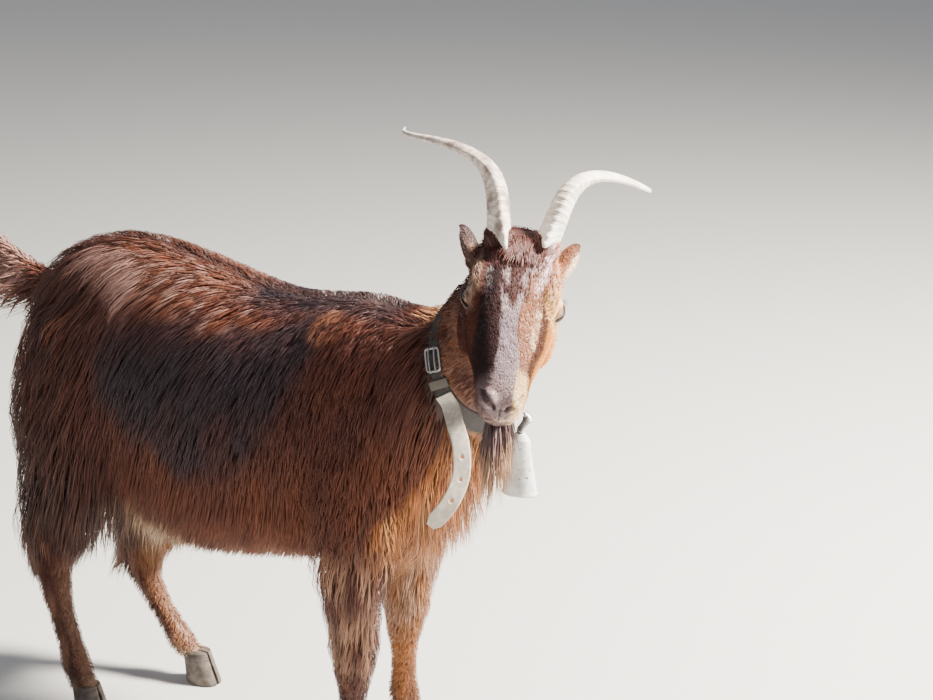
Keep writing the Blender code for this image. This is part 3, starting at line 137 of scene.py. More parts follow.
# Place along the joints, half length, half width, coat depth
LEG_SECTIONS = {
    "hind": np.array([
        (0.0, 0.100, 0.045, 0.016), (0.4, 0.122, 0.053, 0.024), (0.75, 0.120, 0.053, 0.028),
        (1.0, 0.104, 0.047, 0.030), (1.3, 0.078, 0.038, 0.026), (1.6, 0.055, 0.029, 0.018),
        (1.85, 0.041, 0.025, 0.010), (2.0, 0.037, 0.023, 0.007), (2.2, 0.028, 0.019, 0.005),
        (2.5, 0.0195, 0.0155, 0.004), (2.8, 0.0190, 0.0155, 0.004), (3.0, 0.0225, 0.0190, 0.004),
        (3.4, 0.0200, 0.0180, 0.004), (4.0, 0.0225, 0.0195, 0.002)]),
    "fore": np.array([
        (0.0, 0.066, 0.036, 0.012), (0.5, 0.078, 0.042, 0.018), (0.8, 0.066, 0.039, 0.020),
        (1.0, 0.052, 0.034, 0.022), (1.3, 0.038, 0.028, 0.018), (1.6, 0.030, 0.024, 0.015),
        (1.85, 0.0265, 0.0230, 0.012), (2.0, 0.0275, 0.0240, 0.009), (2.2, 0.0235, 0.0205, 0.006),
        (2.5, 0.0170, 0.0150, 0.004), (2.8, 0.0165, 0.0150, 0.004), (3.0, 0.0215, 0.0190, 0.004),
        (3.4, 0.0195, 0.0180, 0.004), (4.0, 0.0220, 0.0195, 0.002)]),
}
LEG_END = 4
# Along the face, half width, upper line, lower line, how much wider above
SKULL = np.array([
    (-0.030, 0.040, -0.022, -0.092, 0.0), (-0.005, 0.050, -0.004, -0.116, 0.02),
    (0.030, 0.057, 0.003, -0.127, 0.05), (0.065, 0.060, 0.003, -0.128, 0.08),
    (0.100, 0.058, 0.000, -0.122, 0.04), (0.130, 0.052, -0.004, -0.112, 0.0),
    (0.160, 0.044, -0.008, -0.099, 0.0), (0.190, 0.0355, -0.011, -0.088, 0.0),
    (0.215, 0.0315, -0.014, -0.084, 0.0), (0.235, 0.0285, -0.019, -0.080, 0.0),
    (0.250, 0.0190, -0.030, -0.070, 0.0)])
CORONET_HEIGHT = 0.042


def smooth_rows(rows, places):
    """Rows read at fractional places, on a cubic Hermite curve with slopes from the neighbours."""
    rows = np.asarray(rows, float)
    places = np.clip(np.asarray(places, float), 0, len(rows) - 1)
    low = np.minimum(places.astype(int), len(rows) - 2)
    t = (places - low)[..., None]
    slope = np.gradient(rows, axis=0)
    leave, reach = 2 * t**3 - 3 * t**2 + 1, 3 * t**2 - 2 * t**3
    return (leave * rows[low] + reach * rows[low + 1] + (t**3 - 2 * t**2 + t) * slope[low]
            + (t**3 - t**2) * slope[low + 1])


def squared(values, power):
    """Values from -1 to 1 raised to a power with their sign kept: below one it squares a circle."""
    return np.sign(values) * np.abs(values) ** power


def section_ways(row):
    """Up and side ways of trunk sections, and half their height."""
    up = row[..., CREST] - row[..., KEEL]
    turn = np.radians(row[..., TURN])
    side = np.stack([-np.sin(turn), np.cos(turn), 0 * turn], -1)
    return unit(up), side, np.linalg.norm(up, axis=-1) / 2


def trunk_surface(places, angles, share):
    """A ring is a squashed circle round the middle of crest and keel: middle + up * half
    * cos(angle) + side * width * sin(angle), narrower above; share adds that much of the coat."""
    row = smooth_rows(TRUNK, places)
    up, side, _ = section_ways(row)
    crest = row[..., CREST] + up * row[..., ABOVE, None] * share
    keel = row[..., KEEL] - up * row[..., BELOW, None] * share
    half = np.linalg.norm(crest - keel, axis=-1)[..., None] / 2
    wide = (row[..., HALF_WIDTH] + row[..., BESIDE] * share)[..., None]
    cos, sin = np.cos(angles)[..., None], np.sin(angles)[..., None]
    return (crest + keel) / 2 + up * half * cos + side * wide * sin * (1 - NARROWER_ABOVE * cos)


def leg_sizes(name, places):
    """Half length, half width and coat depth of a leg at places along its joints."""
    along, *sizes = LEG_SECTIONS[name[:4]].T
    return [np.interp(places, along, size)[..., None] for size in sizes]


def leg_surface(name, places, angles):
    """A level ellipse round the leg's centre line: angle 0 is the front, 90 degrees the left."""
    centre = smooth_rows(LEGS[name], places)
    long, wide, _ = leg_sizes(name, places)
    x, y = long * np.cos(angles)[..., None], wide * np.sin(angles)[..., None]
    return centre + np.concatenate([x, y, 0 * x], -1)


def skull_surface(places, angles):
    """Rounded boxes along the face, in the head frame: y is the half width times sin(angle), z runs
    from the upper to the lower line with cos(angle), both squared a little at the corners."""
    along, half, upper, lower, wider = np.moveaxis(smooth_rows(SKULL, places), -1, 0)
    cos = np.cos(angles)
    wide = half * squared(np.sin(angles), 0.85) * (1 + wider * cos)
    high = (upper + lower) / 2 + (upper - lower) / 2 * squared(cos, 0.9)
    return np.stack([along + 0 * wide, wide, high], -1)


print("trunk sections:", len(TRUNK), "skull sections:", len(SKULL), "legs:", len(LEGS))

# %% [markdown]
# A shape here is a grid of points. A grid that closes on itself sideways is a tube; one point at
# each end closes it. Several closed tubes and balls can then be melted into one skin: a voxel
# remesh throws away what lies inside and a light smoothing rounds the creases between the pieces.
# %% Grids, tubes and balls
NO_QUADS, NO_TRIANGLES = np.zeros((0, 4), int), np.zeros((0, 3), int)


def around(count):
    """Angles once round a circle."""
    return np.linspace(0, 2 * math.pi, count, endpoint=False)


def closed_grid(grid):
    """Points, quads and triangles of a tube of rings with a pole at each end."""
    rows, columns = grid.shape[:2]
    index = np.arange(rows * columns).reshape(rows, columns)
    after = np.roll(index, -1, axis=1)
    quads = np.stack([index[:-1], after[:-1], after[1:], index[1:]], -1).reshape(-1, 4)
    first, last = rows * columns, rows * columns + 1
    ends = np.concatenate([
        np.stack([np.full(columns, first), after[0], index[0]], -1),
        np.stack([np.full(columns, last), index[-1], after[-1]], -1)])
    poles = np.stack([grid[0].mean(0), grid[-1].mean(0)])
    return np.concatenate([grid.reshape(-1, 3), poles]), quads, ends


def ring_grid(grid):
    """Points and quads of a grid closed both ways, like a quoit."""
    rows, columns = grid.shape[:2]
    index = np.arange(rows * columns).reshape(rows, columns)
    right, down = np.roll(index, -1, axis=1), np.roll(index, -1, axis=0)
    quads = np.stack([index, right, np.roll(right, -1, axis=0), down], -1).reshape(-1, 4)
    return grid.reshape(-1, 3), quads, NO_TRIANGLES


def ball(centre, radii, count=28):
    """An ellipsoid: radii times (sin v cos u, sin v sin u, cos v), plus the centre."""
    v = np.linspace(0.02, math.pi - 0.02, count // 2)[:, None]
    u = around(count)[None]
    grid = np.stack([np.sin(v) * np.cos(u), np.sin(v) * np.sin(u), np.cos(v) + 0 * u], -1)
    return closed_grid(grid * np.array(radii) + np.array(centre))


def tube(path, radii, sides=12, flat=1.0, hint=(0.13, 0.31, 0.94)):
    """A circle, squeezed by flat, carried along a path."""
    path = np.asarray(path, float)
    radii = np.broadcast_to(np.asarray(radii, float), (len(path),))[:, None, None]
    heading = unit(np.gradient(path, axis=0))
    across = unit(np.cross(heading, hint))
    other = np.cross(heading, across)
    turn = around(sides)[:, None]
    circle = np.cos(turn) * across[:, None] + flat * np.sin(turn) * other[:, None]
    return closed_grid(path[:, None] + radii * circle)


def placed(shape, place):
    """The same shape with its points put through a function."""
    return place(shape[0]), shape[1], shape[2]


def joined(shapes):
    """One list of points, quads and triangles from several shapes."""
    points, quads, triangles = zip(*shapes)
    starts = np.cumsum([0] + [len(part) for part in points])
    return (np.concatenate(points),
            np.concatenate([part + start for part, start in zip(quads, starts)]),
            np.concatenate([part + start for part, start in zip(triangles, starts)]))


def outward(shape):
    """The same shape with its faces turned outward, told by the sign of the volume inside."""
    points, quads, triangles = shape
    a, b, c, d = (points[quads[:, k]] for k in range(4))
    volume = (np.cross(b - a, c - a) * a).sum() + (np.cross(c - a, d - a) * a).sum()
    if len(triangles):
        a, b, c = (points[triangles[:, k]] for k in range(3))
        volume += (np.cross(b - a, c - a) * a).sum()
    return shape if volume > 0 else (points, quads[:, ::-1], triangles[:, ::-1])


def linked(name, data):
    """A new object in the scene."""
    obj = bpy.data.objects.new(name, data)
    bpy.context.scene.collection.objects.link(obj)
    return obj


def mesh_object(name, shape):
    """A smooth-shaded mesh object from points, quads and triangles."""
    points, quads, triangles = shape
    mesh = bpy.data.meshes.new(name)
    mesh.vertices.add(len(points))
    mesh.vertices.foreach_set("co", np.asarray(points, np.float32).ravel())
    corners = np.concatenate([quads.ravel(), triangles.ravel()]).astype(np.int32)
    mesh.loops.add(len(corners))
    mesh.loops.foreach_set("vertex_index", corners)
    starts = np.concatenate([np.arange(len(quads)) * 4,
                             len(quads) * 4 + np.arange(len(triangles)) * 3])
    mesh.polygons.add(len(starts))
    mesh.polygons.foreach_set("loop_start", starts.astype(np.int32))
    mesh.update(calc_edges=True)
    mesh.validate()
    mesh.shade_smooth()
    return linked(name, mesh)


def vertex_rows(obj, field):
    """What each vertex of an object has under a name, as rows of three."""
    rows = np.empty(len(obj.data.vertices) * 3, np.float32)
    obj.data.vertices.foreach_get(field, rows)
    return rows.reshape(-1, 3).astype(float)


def points_of(obj):
    return vertex_rows(obj, "co")


def move_points(obj, points):
    obj.data.vertices.foreach_set("co", np.asarray(points, np.float32).ravel())
    obj.data.update()


def apply_modifiers(obj):
    """The mesh as its modifiers make it takes the place of the mesh."""
    bpy.context.view_layer.update()
    graph = bpy.context.evaluated_depsgraph_get()
    mesh = bpy.data.meshes.new_from_object(obj.evaluated_get(graph))
    obj.modifiers.clear()
    obj.data = mesh


def melted(name, shapes, voxel, rounds):
    """Overlapping closed shapes fused into one skin."""
    obj = mesh_object(name, joined(shapes))
    remesh = obj.modifiers.new("melt", "REMESH")
    remesh.mode = "VOXEL"
    remesh.voxel_size = voxel
    soften = obj.modifiers.new("soften", "SMOOTH")
    soften.factor = 0.5
    soften.iterations = rounds
    apply_modifiers(obj)
    return obj


def ramp(values, start, end):
    """0 before start, 1 after end, with a smooth step between; start may be above end."""
    t = np.clip((values - start) / (end - start), 0, 1)
    return t * t * (3 - 2 * t)


def blend(one, other, share):
    """From one to the other as share goes from 0 to 1, for values or for rows of them."""
    share = share[:, None] if np.ndim(one) == 2 else share
    return one * (1 - share) + other * share


print("one ball has", len(ball((0, 0, 0), (1, 1, 1))[0]), "points")

# %% [markdown]
# The body's skin is melted from the trunk and neck, the four legs down to the hooves, and the root
# of the tail. It lies as deep under the outline as the coat is long when it lies flat, so the hair
# that grows from it fills up to the solids' surface. Its voxels are 7 mm, as hair hides it all.
# %% Skin of the body
TAIL_ROOT = np.array([-0.385, 0.0, 0.655])
TAIL_TIP = np.array([-0.500, 0.004, 0.722])
TAIL_RADIUS, TAIL_TAPER = 0.016, 0.009
BODY_VOXEL = 0.0070


def tail_path(count):
    """From inside the rump to the tip, a little hollow in the middle."""
    t = np.linspace(0, 1, count)[:, None]
    bow = np.array([1.0, 0, 0]) * 0.028 * (1 - t) - np.array([0, 0, 1.0]) * 0.048 * t * (1 - t)
    path = TAIL_ROOT + (TAIL_TIP - TAIL_ROOT) * t + bow
    path[0] += (0.03, 0, -0.02)
    return path


def body_shapes():
    """Trunk and neck, the tail's dock and the four legs."""
    trunk = trunk_surface(np.linspace(0, NECK_END, 180)[:, None], around(96)[None], 0.0)
    places, turn = np.linspace(0, LEG_END, 110)[:, None], around(40)[None]
    legs = [closed_grid(leg_surface(name, places, turn)) for name in LEGS]
    tail = tube(tail_path(24), TAIL_RADIUS - TAIL_TAPER * np.linspace(0, 1, 24), 20)
    return [closed_grid(trunk), tail] + legs


skin_body = melted("skin_body", body_shapes(), BODY_VOXEL, 2)
print("body skin faces:", len(skin_body.data.polygons))

# %% [markdown]
# The head is the part everyone looks at, so it is melted from more and smaller pieces: the skull's
# rounded boxes, the bony rims over the eyes, cheeks, the wings of the nostrils, lips and chin.
# %% Pieces of the head
HEAD_VOXEL = 0.0014
# Centre and radii of each lump: nose, chin and lower lip in the middle
MIDDLE_LUMPS = [((0.243, 0.0, -0.045), (0.0135, 0.022, 0.0135)),
                ((0.222, 0.0, -0.078), (0.022, 0.019, 0.014)),
                ((0.236, 0.0, -0.066), (0.0118, 0.017, 0.008))]
# Eye socket, brow, cheek, horn base, nostril wing, ear base and side of the nose, on both sides
SIDE_LUMPS = [((0.080, 0.043, -0.032), (0.030, 0.0185, 0.024)),
              ((0.070, 0.041, -0.013), (0.028, 0.0175, 0.013)),
              ((0.085, 0.040, -0.085), (0.055, 0.024, 0.038)),
              ((0.004, 0.030, -0.012), (0.022, 0.0205, 0.020)),
              ((0.237, 0.0145, -0.031), (0.01455, 0.012125, 0.01358)),
              ((0.022, 0.047, -0.054), (0.017, 0.014, 0.016)),
              ((0.150, 0.024, -0.050), (0.050, 0.0125, 0.020))]


def head_shapes():
    """The skull and the lumps of the head, moved from its own frame."""
    skull = skull_surface(np.linspace(0, len(SKULL) - 1, 110)[:, None], around(84)[None])
    shapes = [closed_grid(skull)] + [ball(*lump) for lump in MIDDLE_LUMPS]
    for side in SIDES.values():
        shapes += [ball(mirrored(centre, side), radii) for centre, radii in SIDE_LUMPS]
    return [placed(shape, from_head) for shape in shapes]


def throat_shape():
    """The neck's last stretch, so that head and neck are one form under the jaw."""
    return closed_grid(trunk_surface(np.linspace(12.2, 15, 60)[:, None], around(72)[None], 0.35))


skin_head = melted("skin_head", head_shapes() + [throat_shape()], HEAD_VOXEL, 3)
print("head skin faces:", len(skin_head.data.polygons))

# %% [markdown]
# Small things are pushed into the melted head point by point: a hollow for each eyeball, the line
# of the mouth with a fuller lip above it and below it, and the slanted comma of each nostril.
# %% Eye frames
LID_HALF_LENGTH = 0.0132
UPPER_LID_RISE, LOWER_LID_RISE = 0.0064, 0.0052


def eye_frame(side):
    """Centre of the eyeball, then the ways ahead along the lids, up and outward."""
    out = unit(np.array([0.22, side * 0.90, 0.30]))
    ahead = np.array([1.0, 0.0, -0.25])
    ahead = unit(ahead - out * (ahead @ out))
    up = np.cross(out, ahead)
    up = up * np.sign(up[2])
    return mirrored(EYE_PLACE, side), ahead, up, out


def lid_outline(turn):
    """The lid's edge across the eye's axis, forward and up, at each turn round the opening."""
    rise = np.where(np.sin(turn) > 0, UPPER_LID_RISE, LOWER_LID_RISE)
    return LID_HALF_LENGTH * np.cos(turn), rise * np.sin(turn) * np.abs(np.sin(turn)) ** 0.25


def lid_angle(turn):
    """How far the lid's edge stands from the eye's axis, in radians."""
    return np.arcsin(np.clip(np.hypot(*lid_outline(turn)) / EYE_RADIUS, 0, 0.96))


def lid_way(turn, ahead, up):
    """Unit arrows from the eye's axis to the lid's edge."""
    flat = unit(np.stack(lid_outline(turn), -1))
    return flat[:, :1] * ahead + flat[:, 1:] * up


def seen_from_eye(points, side):
    """Each point's distance from the eyeball's centre, its angle off the axis and its turn."""
    centre, ahead, up, out = eye_frame(side)
    away = points - centre
    distance = np.linalg.norm(away, axis=1)
    off = np.arccos(np.clip(away @ out / np.maximum(distance, 1e-6), -1, 1))
    return distance, off, np.arctan2(away @ up, away @ ahead)


print("right eye looks along", eye_frame(-1)[3].round(2))

# %% [markdown]
# The mouth of a goat is a level slit that rises a little towards its corner. Its line is given in
# the head frame as a height over the distance along the face, and the skin near it is pressed in.
# %% Mouth, lips and nostrils
MOUTH_CORNER, MOUTH_FRONT = 0.182, 0.252
MOUTH_HEIGHT = -0.0585
NOSTRIL_PLACES = np.array([(0.2240, 0.0265, -0.0330), (0.2478, 0.0178, -0.0180),
                           (0.2485, 0.0070, -0.0350)])
NOSTRIL_ARCS = {}
SKIN_DEPTH = 0.0006
EYE_BED = EYE_RADIUS - 0.0025


def mouth_offset(points):
    """Height above the line of the mouth, and how much of the groove is there, 0 behind it."""
    back = np.clip((MOUTH_FRONT - points[:, 0]) / (MOUTH_FRONT - MOUTH_CORNER), 0, 1.5)
    line = MOUTH_HEIGHT - 0.010 * back**1.5
    return points[:, 2] - line, ramp(points[:, 0], MOUTH_CORNER - 0.006, MOUTH_CORNER + 0.010)


def nostril_arc(points, side):
    """A curve led by three places on the nostril's wing, laid on the nearest surface points."""
    t = np.linspace(0, 1, 30)[:, None]
    first, middle, last = mirrored(NOSTRIL_PLACES, side)
    arc = first * (1 - t) ** 2 + middle * 2 * t * (1 - t) + last * t**2
    return points[((points[None] - arc[:, None]) ** 2).sum(2).argmin(1)]


def nostril_depth(points, side):
    """The distance from the nostril's arc, against its width, becomes a share of full depth."""
    arc = NOSTRIL_ARCS[side]
    width = 0.0018 + 0.0032 * np.sin(math.pi * np.linspace(0, 1, len(arc)) ** 0.8)
    ratio = np.linalg.norm(points[:, None] - arc[None], axis=2) / width
    return ramp(ratio.min(1), 1.25, 0.35)


def bump_of(values, width, height):
    """A bell-shaped bump of a height, round the value zero."""
    return np.exp(-(values / width) ** 2) * height


def shaped_head(points, normals):
    """Head skin with eye hollows, mouth line, lips and nostrils, drawn in by the short coat."""
    points = points - normals * SKIN_DEPTH
    for side in SIDES.values():
        distance, off, _ = seen_from_eye(points, side)
        inside = ramp(off, 1.15, 0.95) * (distance < 0.03)
        centre = eye_frame(side)[0]
        closer = np.minimum(distance, EYE_BED) / np.maximum(distance, 1e-6)
        sunk = centre + (points - centre) * closer[:, None]
        points = points + (sunk - points) * inside[:, None]
    height, share = mouth_offset(points)
    lips = bump_of(np.abs(height) - 0.0042, 0.0030, 0.0011)
    inward = (bump_of(height, 0.0011, 0.0030) - lips) * share
    near = (points[:, 0] > 0.20) & (np.abs(points[:, 1]) < 0.035)
    for side in SIDES.values():
        NOSTRIL_ARCS[side] = nostril_arc(points[near], side)
        depth = np.zeros(len(points))
        depth[near] = nostril_depth(points[near], side)
        inward = inward + depth * 0.0085
    cleft = bump_of(points[:, 1], 0.0010, ramp(points[:, 2], -0.060, -0.052))
    inward = inward + cleft * ramp(points[:, 0], 0.235, 0.243) * 0.0012
    return points - normals * inward[:, None]


head_normals = vertex_rows(skin_head, "normal") @ HEAD_AXES.T
head_points = shaped_head(to_head(points_of(skin_head)), head_normals)
move_points(skin_head, from_head(head_points))
print("muzzle reaches", head_points[:, 0].max().round(3), "m from the poll")

# %% [markdown]
# Lids are made as a ring of their own: its cross section starts under the lid, rounds the moist
# edge, climbs the lid, dips into the crease and runs out into the skin around the eye. One function
# of the turn round the opening and of the step across the lid gives the whole ring.
# %% Eyelids
# Step outward in degrees beyond the lid's edge, height over the eyeball
LID_PROFILE = np.array([
    (7.0, -0.0012), (2.0, 0.0002), (0.0, 0.0008), (1.0, 0.0016), (4.0, 0.0023), (9.0, 0.0026),
    (14.0, 0.0023), (18.0, 0.0012), (22.0, 0.0022), (29.0, 0.0034), (37.0, 0.0040)])
# The same beyond the crease, where heights are over the head's skin
LID_OUTER = [(41.0, 0.0006), (49.0, -0.0004), (54.0, -0.0040)]
LID_COLUMNS = 120


def nearest_on(target, points):
    """For every point, the nearest place on the target and the way the target faces there."""
    cloud = mesh_object("cloud", (points, NO_QUADS, NO_TRIANGLES))
    wrap = cloud.modifiers.new("wrap", "SHRINKWRAP")
    wrap.target = target
    found = []
    for mode, offset in (("ON_SURFACE", 0.0), ("ABOVE_SURFACE", 0.002)):
        wrap.wrap_mode = mode
        wrap.offset = offset
        bpy.context.view_layer.update()
        graph = bpy.context.evaluated_depsgraph_get()
        found.append(points_of(cloud.evaluated_get(graph)))
    mesh = cloud.data
    bpy.data.objects.remove(cloud)
    bpy.data.meshes.remove(mesh)
    return found[0], unit(found[1] - found[0])


def lid_ring(side):
    """The grid of one eye's lids: rows across the lid, columns round the opening."""
    centre, ahead, up, out = eye_frame(side)
    turn = around(LID_COLUMNS)
    sideways, edge = lid_way(turn, ahead, up), lid_angle(turn)

    def row_at(step, radius):
        angle = (edge + math.radians(step))[:, None]
        return centre + radius * (np.cos(angle) * out + np.sin(angle) * sideways)

    rows = []
    for step, height in LID_PROFILE:
        heavier = 1 + 0.35 * np.maximum(np.sin(turn), 0) * (step > 3)
        rows.append(row_at(step, (EYE_RADIUS + height * heavier)[:, None]))
    for step, height in LID_OUTER:
        foot, facing = nearest_on(skin_head, from_head(row_at(step, EYE_RADIUS + 0.004)))
        rows.append(to_head(foot + facing * height))
    rows, inner = np.array(rows), len(LID_PROFILE)
    eased = ramp(np.arange(inner), 7, 11)[:, None, None] * 0.5
    rows[:inner] = rows[:inner] * (1 - eased) + rows[inner] * eased
    return rows


lids = joined([outward(placed(ring_grid(lid_ring(side)), from_head)) for side in SIDES.values()])
print("lid points:", len(lids[0]))

# %% [markdown]
# Each ear is a cupped leaf of skin: at every step along it the section is an open arc, wide in the
# middle, narrow at the tip, gone over once outside and once inside, so the leaf is really thick.
# %% Ears
EAR_ROOT = np.array([0.022, 0.051, -0.054])
EAR_TIP = np.array([-0.050, 0.085, -0.077])
EAR_AXIS, EAR_LENGTH = unit(EAR_TIP - EAR_ROOT), np.linalg.norm(EAR_TIP - EAR_ROOT)
EAR_ROOT_WIDTH, EAR_HALF_WIDTH = 0.0110, 0.0205
EAR_SET = 0.004


def ear_shape(side, rows=56, half=22):
    """Leaf section: radius times (cos, sin) of an angle, behind the leaf's middle line."""
    axis = unit(mirrored(EAR_TIP, side) - mirrored(EAR_ROOT, side))
    opening = np.array([0.75, side * 0.65, -0.15])
    opening = unit(opening - axis * (opening @ axis))
    across, length = np.cross(axis, opening), EAR_LENGTH - EAR_SET
    t = np.linspace(-0.16, 1, rows)[:, None]
    grown = np.clip(t, 0, 1)
    widening = np.sin(np.minimum(grown * 1.5, 1) * math.pi / 2)
    wide = EAR_ROOT_WIDTH + (EAR_HALF_WIDTH - EAR_ROOT_WIDTH) * widening
    round_tip = np.sqrt(np.maximum(1 - np.maximum(grown - 0.45, 0) ** 2 / 0.55**2, 0))
    wide = wide * (round_tip * 0.97 + 0.03)
    spread = np.radians(165 - 75 * np.minimum(grown * 1.4, 1))
    thick = 0.0021 * (1 - 0.6 * grown) + 0.0002
    sweep = np.linspace(-1, 1, half)[None]
    line = mirrored(EAR_ROOT, side) + axis * EAR_SET + axis * length * t[..., None]
    line = line - opening * (0.10 * length * grown * grown)[..., None]
    inside = np.maximum(wide - thick, 0.0003)
    sheets = []
    for radius, angle in ((wide, spread * sweep), (inside, spread * sweep[:, ::-1] * 0.985)):
        back = opening * (radius * np.cos(angle) * 0.75)[..., None]
        sheets.append(line - back + across * (radius * np.sin(angle))[..., None])
    return outward(placed(closed_grid(np.concatenate(sheets, axis=1)), from_head))


ears = joined([ear_shape(side) for side in SIDES.values()])
print("ear points:", len(ears[0]))

# %% [markdown]
# Body, head, lids and ears become one skin object. The seam between the two melted parts lies under
# the collar. Every tuft is rooted in the skin, and it is seen between the hairs on face and legs.
# %% One skin
HEAD_SHARE = 0.40


def triangles_of(obj):
    """Corner indices of the object's triangles, after Blender has split its faces."""
    obj.data.calc_loop_triangles()
    corners = np.empty(len(obj.data.loop_triangles) * 3, np.int32)
    obj.data.loop_triangles.foreach_get("vertices", corners)
    return corners.reshape(-1, 3)


def as_shape(obj):
    return points_of(obj), NO_QUADS, triangles_of(obj)


fewer = skin_head.modifiers.new("fewer", "DECIMATE")
fewer.ratio = HEAD_SHARE
apply_modifiers(skin_head)
skin = mesh_object("skin", joined([as_shape(skin_body), as_shape(skin_head), lids, ears]))
body_end = len(skin_body.data.vertices)
head_end = body_end + len(skin_head.data.vertices)
lids_end = head_end + len(lids[0])
print("skin triangles:", len(triangles_of(skin)))

# %% [markdown]
# Patterns on an animal are soft and irregular. Here they come from sums of a few sine waves that
# run in fixed odd directions: cheap, smooth, and the same every time.
# %% Waves and places on the body
WAVE_STORE, WAVES_SUMMED = 24, 6
rng = np.random.default_rng(7)
WAVE_WAYS = unit(rng.normal(size=(WAVE_STORE, 3)))
WAVE_STARTS = rng.uniform(0, 2 * math.pi, WAVE_STORE)
COLLAR_STATION = 12.35
STATION_STEP = 0.047
COLLAR_HALF_WIDTH = 0.014


def waves(points, size, first=0):
    """Sum of sines along several ways, about -1 to 1, with features about size across."""
    order = np.arange(WAVES_SUMMED)
    chosen = (order + first) % WAVE_STORE
    pitch = 1.0 + 0.35 * order / WAVES_SUMMED
    phase = points @ (WAVE_WAYS[chosen] * pitch[:, None]).T * (math.pi / size) + WAVE_STARTS[chosen]
    return np.sin(phase).sum(-1) / math.sqrt(WAVES_SUMMED) / 0.9


def section_middles(row):
    return (row[:, CREST] + row[:, KEEL]) / 2


def section_ahead(row):
    """The way across the plane of each section."""
    up, side, _ = section_ways(row)
    return unit(np.cross(side, up))


STATIONS = np.linspace(0, NECK_END, 200)
STATION_ROWS = smooth_rows(TRUNK, STATIONS)
STATION_CENTRES, STATION_WAYS = section_middles(STATION_ROWS), section_ahead(STATION_ROWS)


def trunk_place(points):
    """The station whose section passes nearest, and the angle round it in degrees, 0 at the crest,
    left plus. A section's cost is its plane's distance squared and a twentieth of its middle's."""
    far = ((points**2).sum(1)[:, None] - 2 * points @ STATION_CENTRES.T
           + (STATION_CENTRES**2).sum(1))
    off_plane = points @ STATION_WAYS.T - (STATION_CENTRES * STATION_WAYS).sum(1)
    near = (off_plane**2 + 0.05 * far).argmin(1)
    row = STATION_ROWS[near]
    up, side, half = section_ways(row)
    away = points - STATION_CENTRES[near]
    level, risen = (away * side).sum(1) / row[:, HALF_WIDTH], (away * up).sum(1) / half
    return STATIONS[near], np.degrees(np.arctan2(level, risen))


def past_collar(points):
    """How far points lie on the head's side of the collar's middle plane."""
    row = smooth_rows(TRUNK, np.array([COLLAR_STATION]))
    return (points - section_middles(row)[0]) @ section_ahead(row)[0]


def leg_place(name, points):
    """Place along a leg's joints, the angle round it in degrees and how far out a point lies."""
    places = np.linspace(LEG_END, 0, 160)
    centres = smooth_rows(LEGS[name], places)
    heights = centres[:, 2]
    place = np.interp(points[:, 2], heights, places)
    centre = np.stack([np.interp(points[:, 2], heights, centres[:, k]) for k in (0, 1)], -1)
    long, wide, _ = leg_sizes(name, place)
    away = (points[:, :2] - centre) / np.concatenate([long, wide], 1)
    return place, np.degrees(np.arctan2(away[:, 1], away[:, 0])), np.hypot(away[:, 0], away[:, 1])


def ear_place(points):
    """Side of each point, the mirroring that brings it to the left, its place from the left ear's
    root, and how far along the ear it lies."""
    local = to_head(points)
    side = np.where(local[:, 1] > 0, 1, -1)
    mirroring = np.stack([0 * side + 1, side, 0 * side + 1], 1)
    away = local * mirroring - EAR_ROOT
    return side, mirroring, away, away @ EAR_AXIS / EAR_LENGTH


print("one wave value:", waves(np.zeros((1, 3)), 0.1).round(2))

# %% [markdown]
# The markings are told as a painter would: a ground colour, then each patch laid over it where a
# soft mask says so; a few patches are painted sunlight and painted shade instead. Masks come from
# places on the body, never from the picture's own grid. The same function paints the skin and
# every tuft, so where the coat thins the colours still agree.
# %% Colours of the coat
BLACK = np.array([0.018, 0.013, 0.014])
SADDLE = np.array([0.040, 0.026, 0.031])
DARK_BROWN = np.array([0.052, 0.022, 0.018])
MAHOGANY = np.array([0.092, 0.030, 0.021])
RED_BROWN = np.array([0.165, 0.052, 0.026])
PINK_TAN = np.array([0.460, 0.250, 0.200])
LIGHT_BROWN = np.array([0.280, 0.135, 0.080])
ORANGE_TAN = np.array([0.500, 0.190, 0.060])
CREAM = np.array([0.740, 0.530, 0.340])
MAUVE = np.array([0.310, 0.235, 0.255])
MUZZLE = np.array([0.260, 0.175, 0.170])
PINK_WHITE = np.array([0.640, 0.440, 0.420])
SLATE = np.array([0.075, 0.066, 0.072])


def laid(ground, *patches):
    """Patches laid over the ground one after another: each is a colour and its share, 0 to 1."""
    for colour, share in patches:
        ground = blend(ground, np.asarray(colour), np.clip(share, 0, 1))
    return ground


def spot(values, middle, reach, soft):
    """1 within reach of the middle, fading out over soft."""
    return ramp(np.abs(values - middle), reach + soft, reach)


def plain(colour, points):
    return np.tile(colour, (len(points), 1))


# Edges of the dark saddle: its front and rear by the angle down the side, its top by station
SADDLE_TURNS = (25, 45, 60, 75, 90, 105)
SADDLE_FRONT = (8.5, 8.2, 8.1, 7.9, 7.6, 7.1)
SADDLE_REAR = (5.6, 4.9, 4.2, 4.0, 4.5, 5.6)
SADDLE_TOP = ((3, 4, 5, 6, 7, 8), (52, 52, 52, 46, 36, 28))
# The pale chest's edge: an angle by station
CHEST_EDGE = ((8.3, 8.8, 9.3, 10.2, 11.2, 12.2), (146, 132, 124, 122, 132, 134))


def saddle_share(station, turn, streak, blot):
    """Where the dark saddle lies, with wandering streaky edges."""
    wander = 0.35 * blot + 0.12 * streak
    rear = np.interp(turn, SADDLE_TURNS, SADDLE_REAR) + wander
    front = np.interp(turn, SADDLE_TURNS, SADDLE_FRONT) + 0.4 * wander
    top = np.interp(station, *SADDLE_TOP) + 5 * streak
    saddle = ramp(station, rear - 0.4, rear + 0.5) * ramp(station, front + 0.35, front - 0.35)
    return saddle * ramp(turn, top - 9, top + 7) * ramp(turn, 113 + 6 * blot, 97 + 6 * blot)


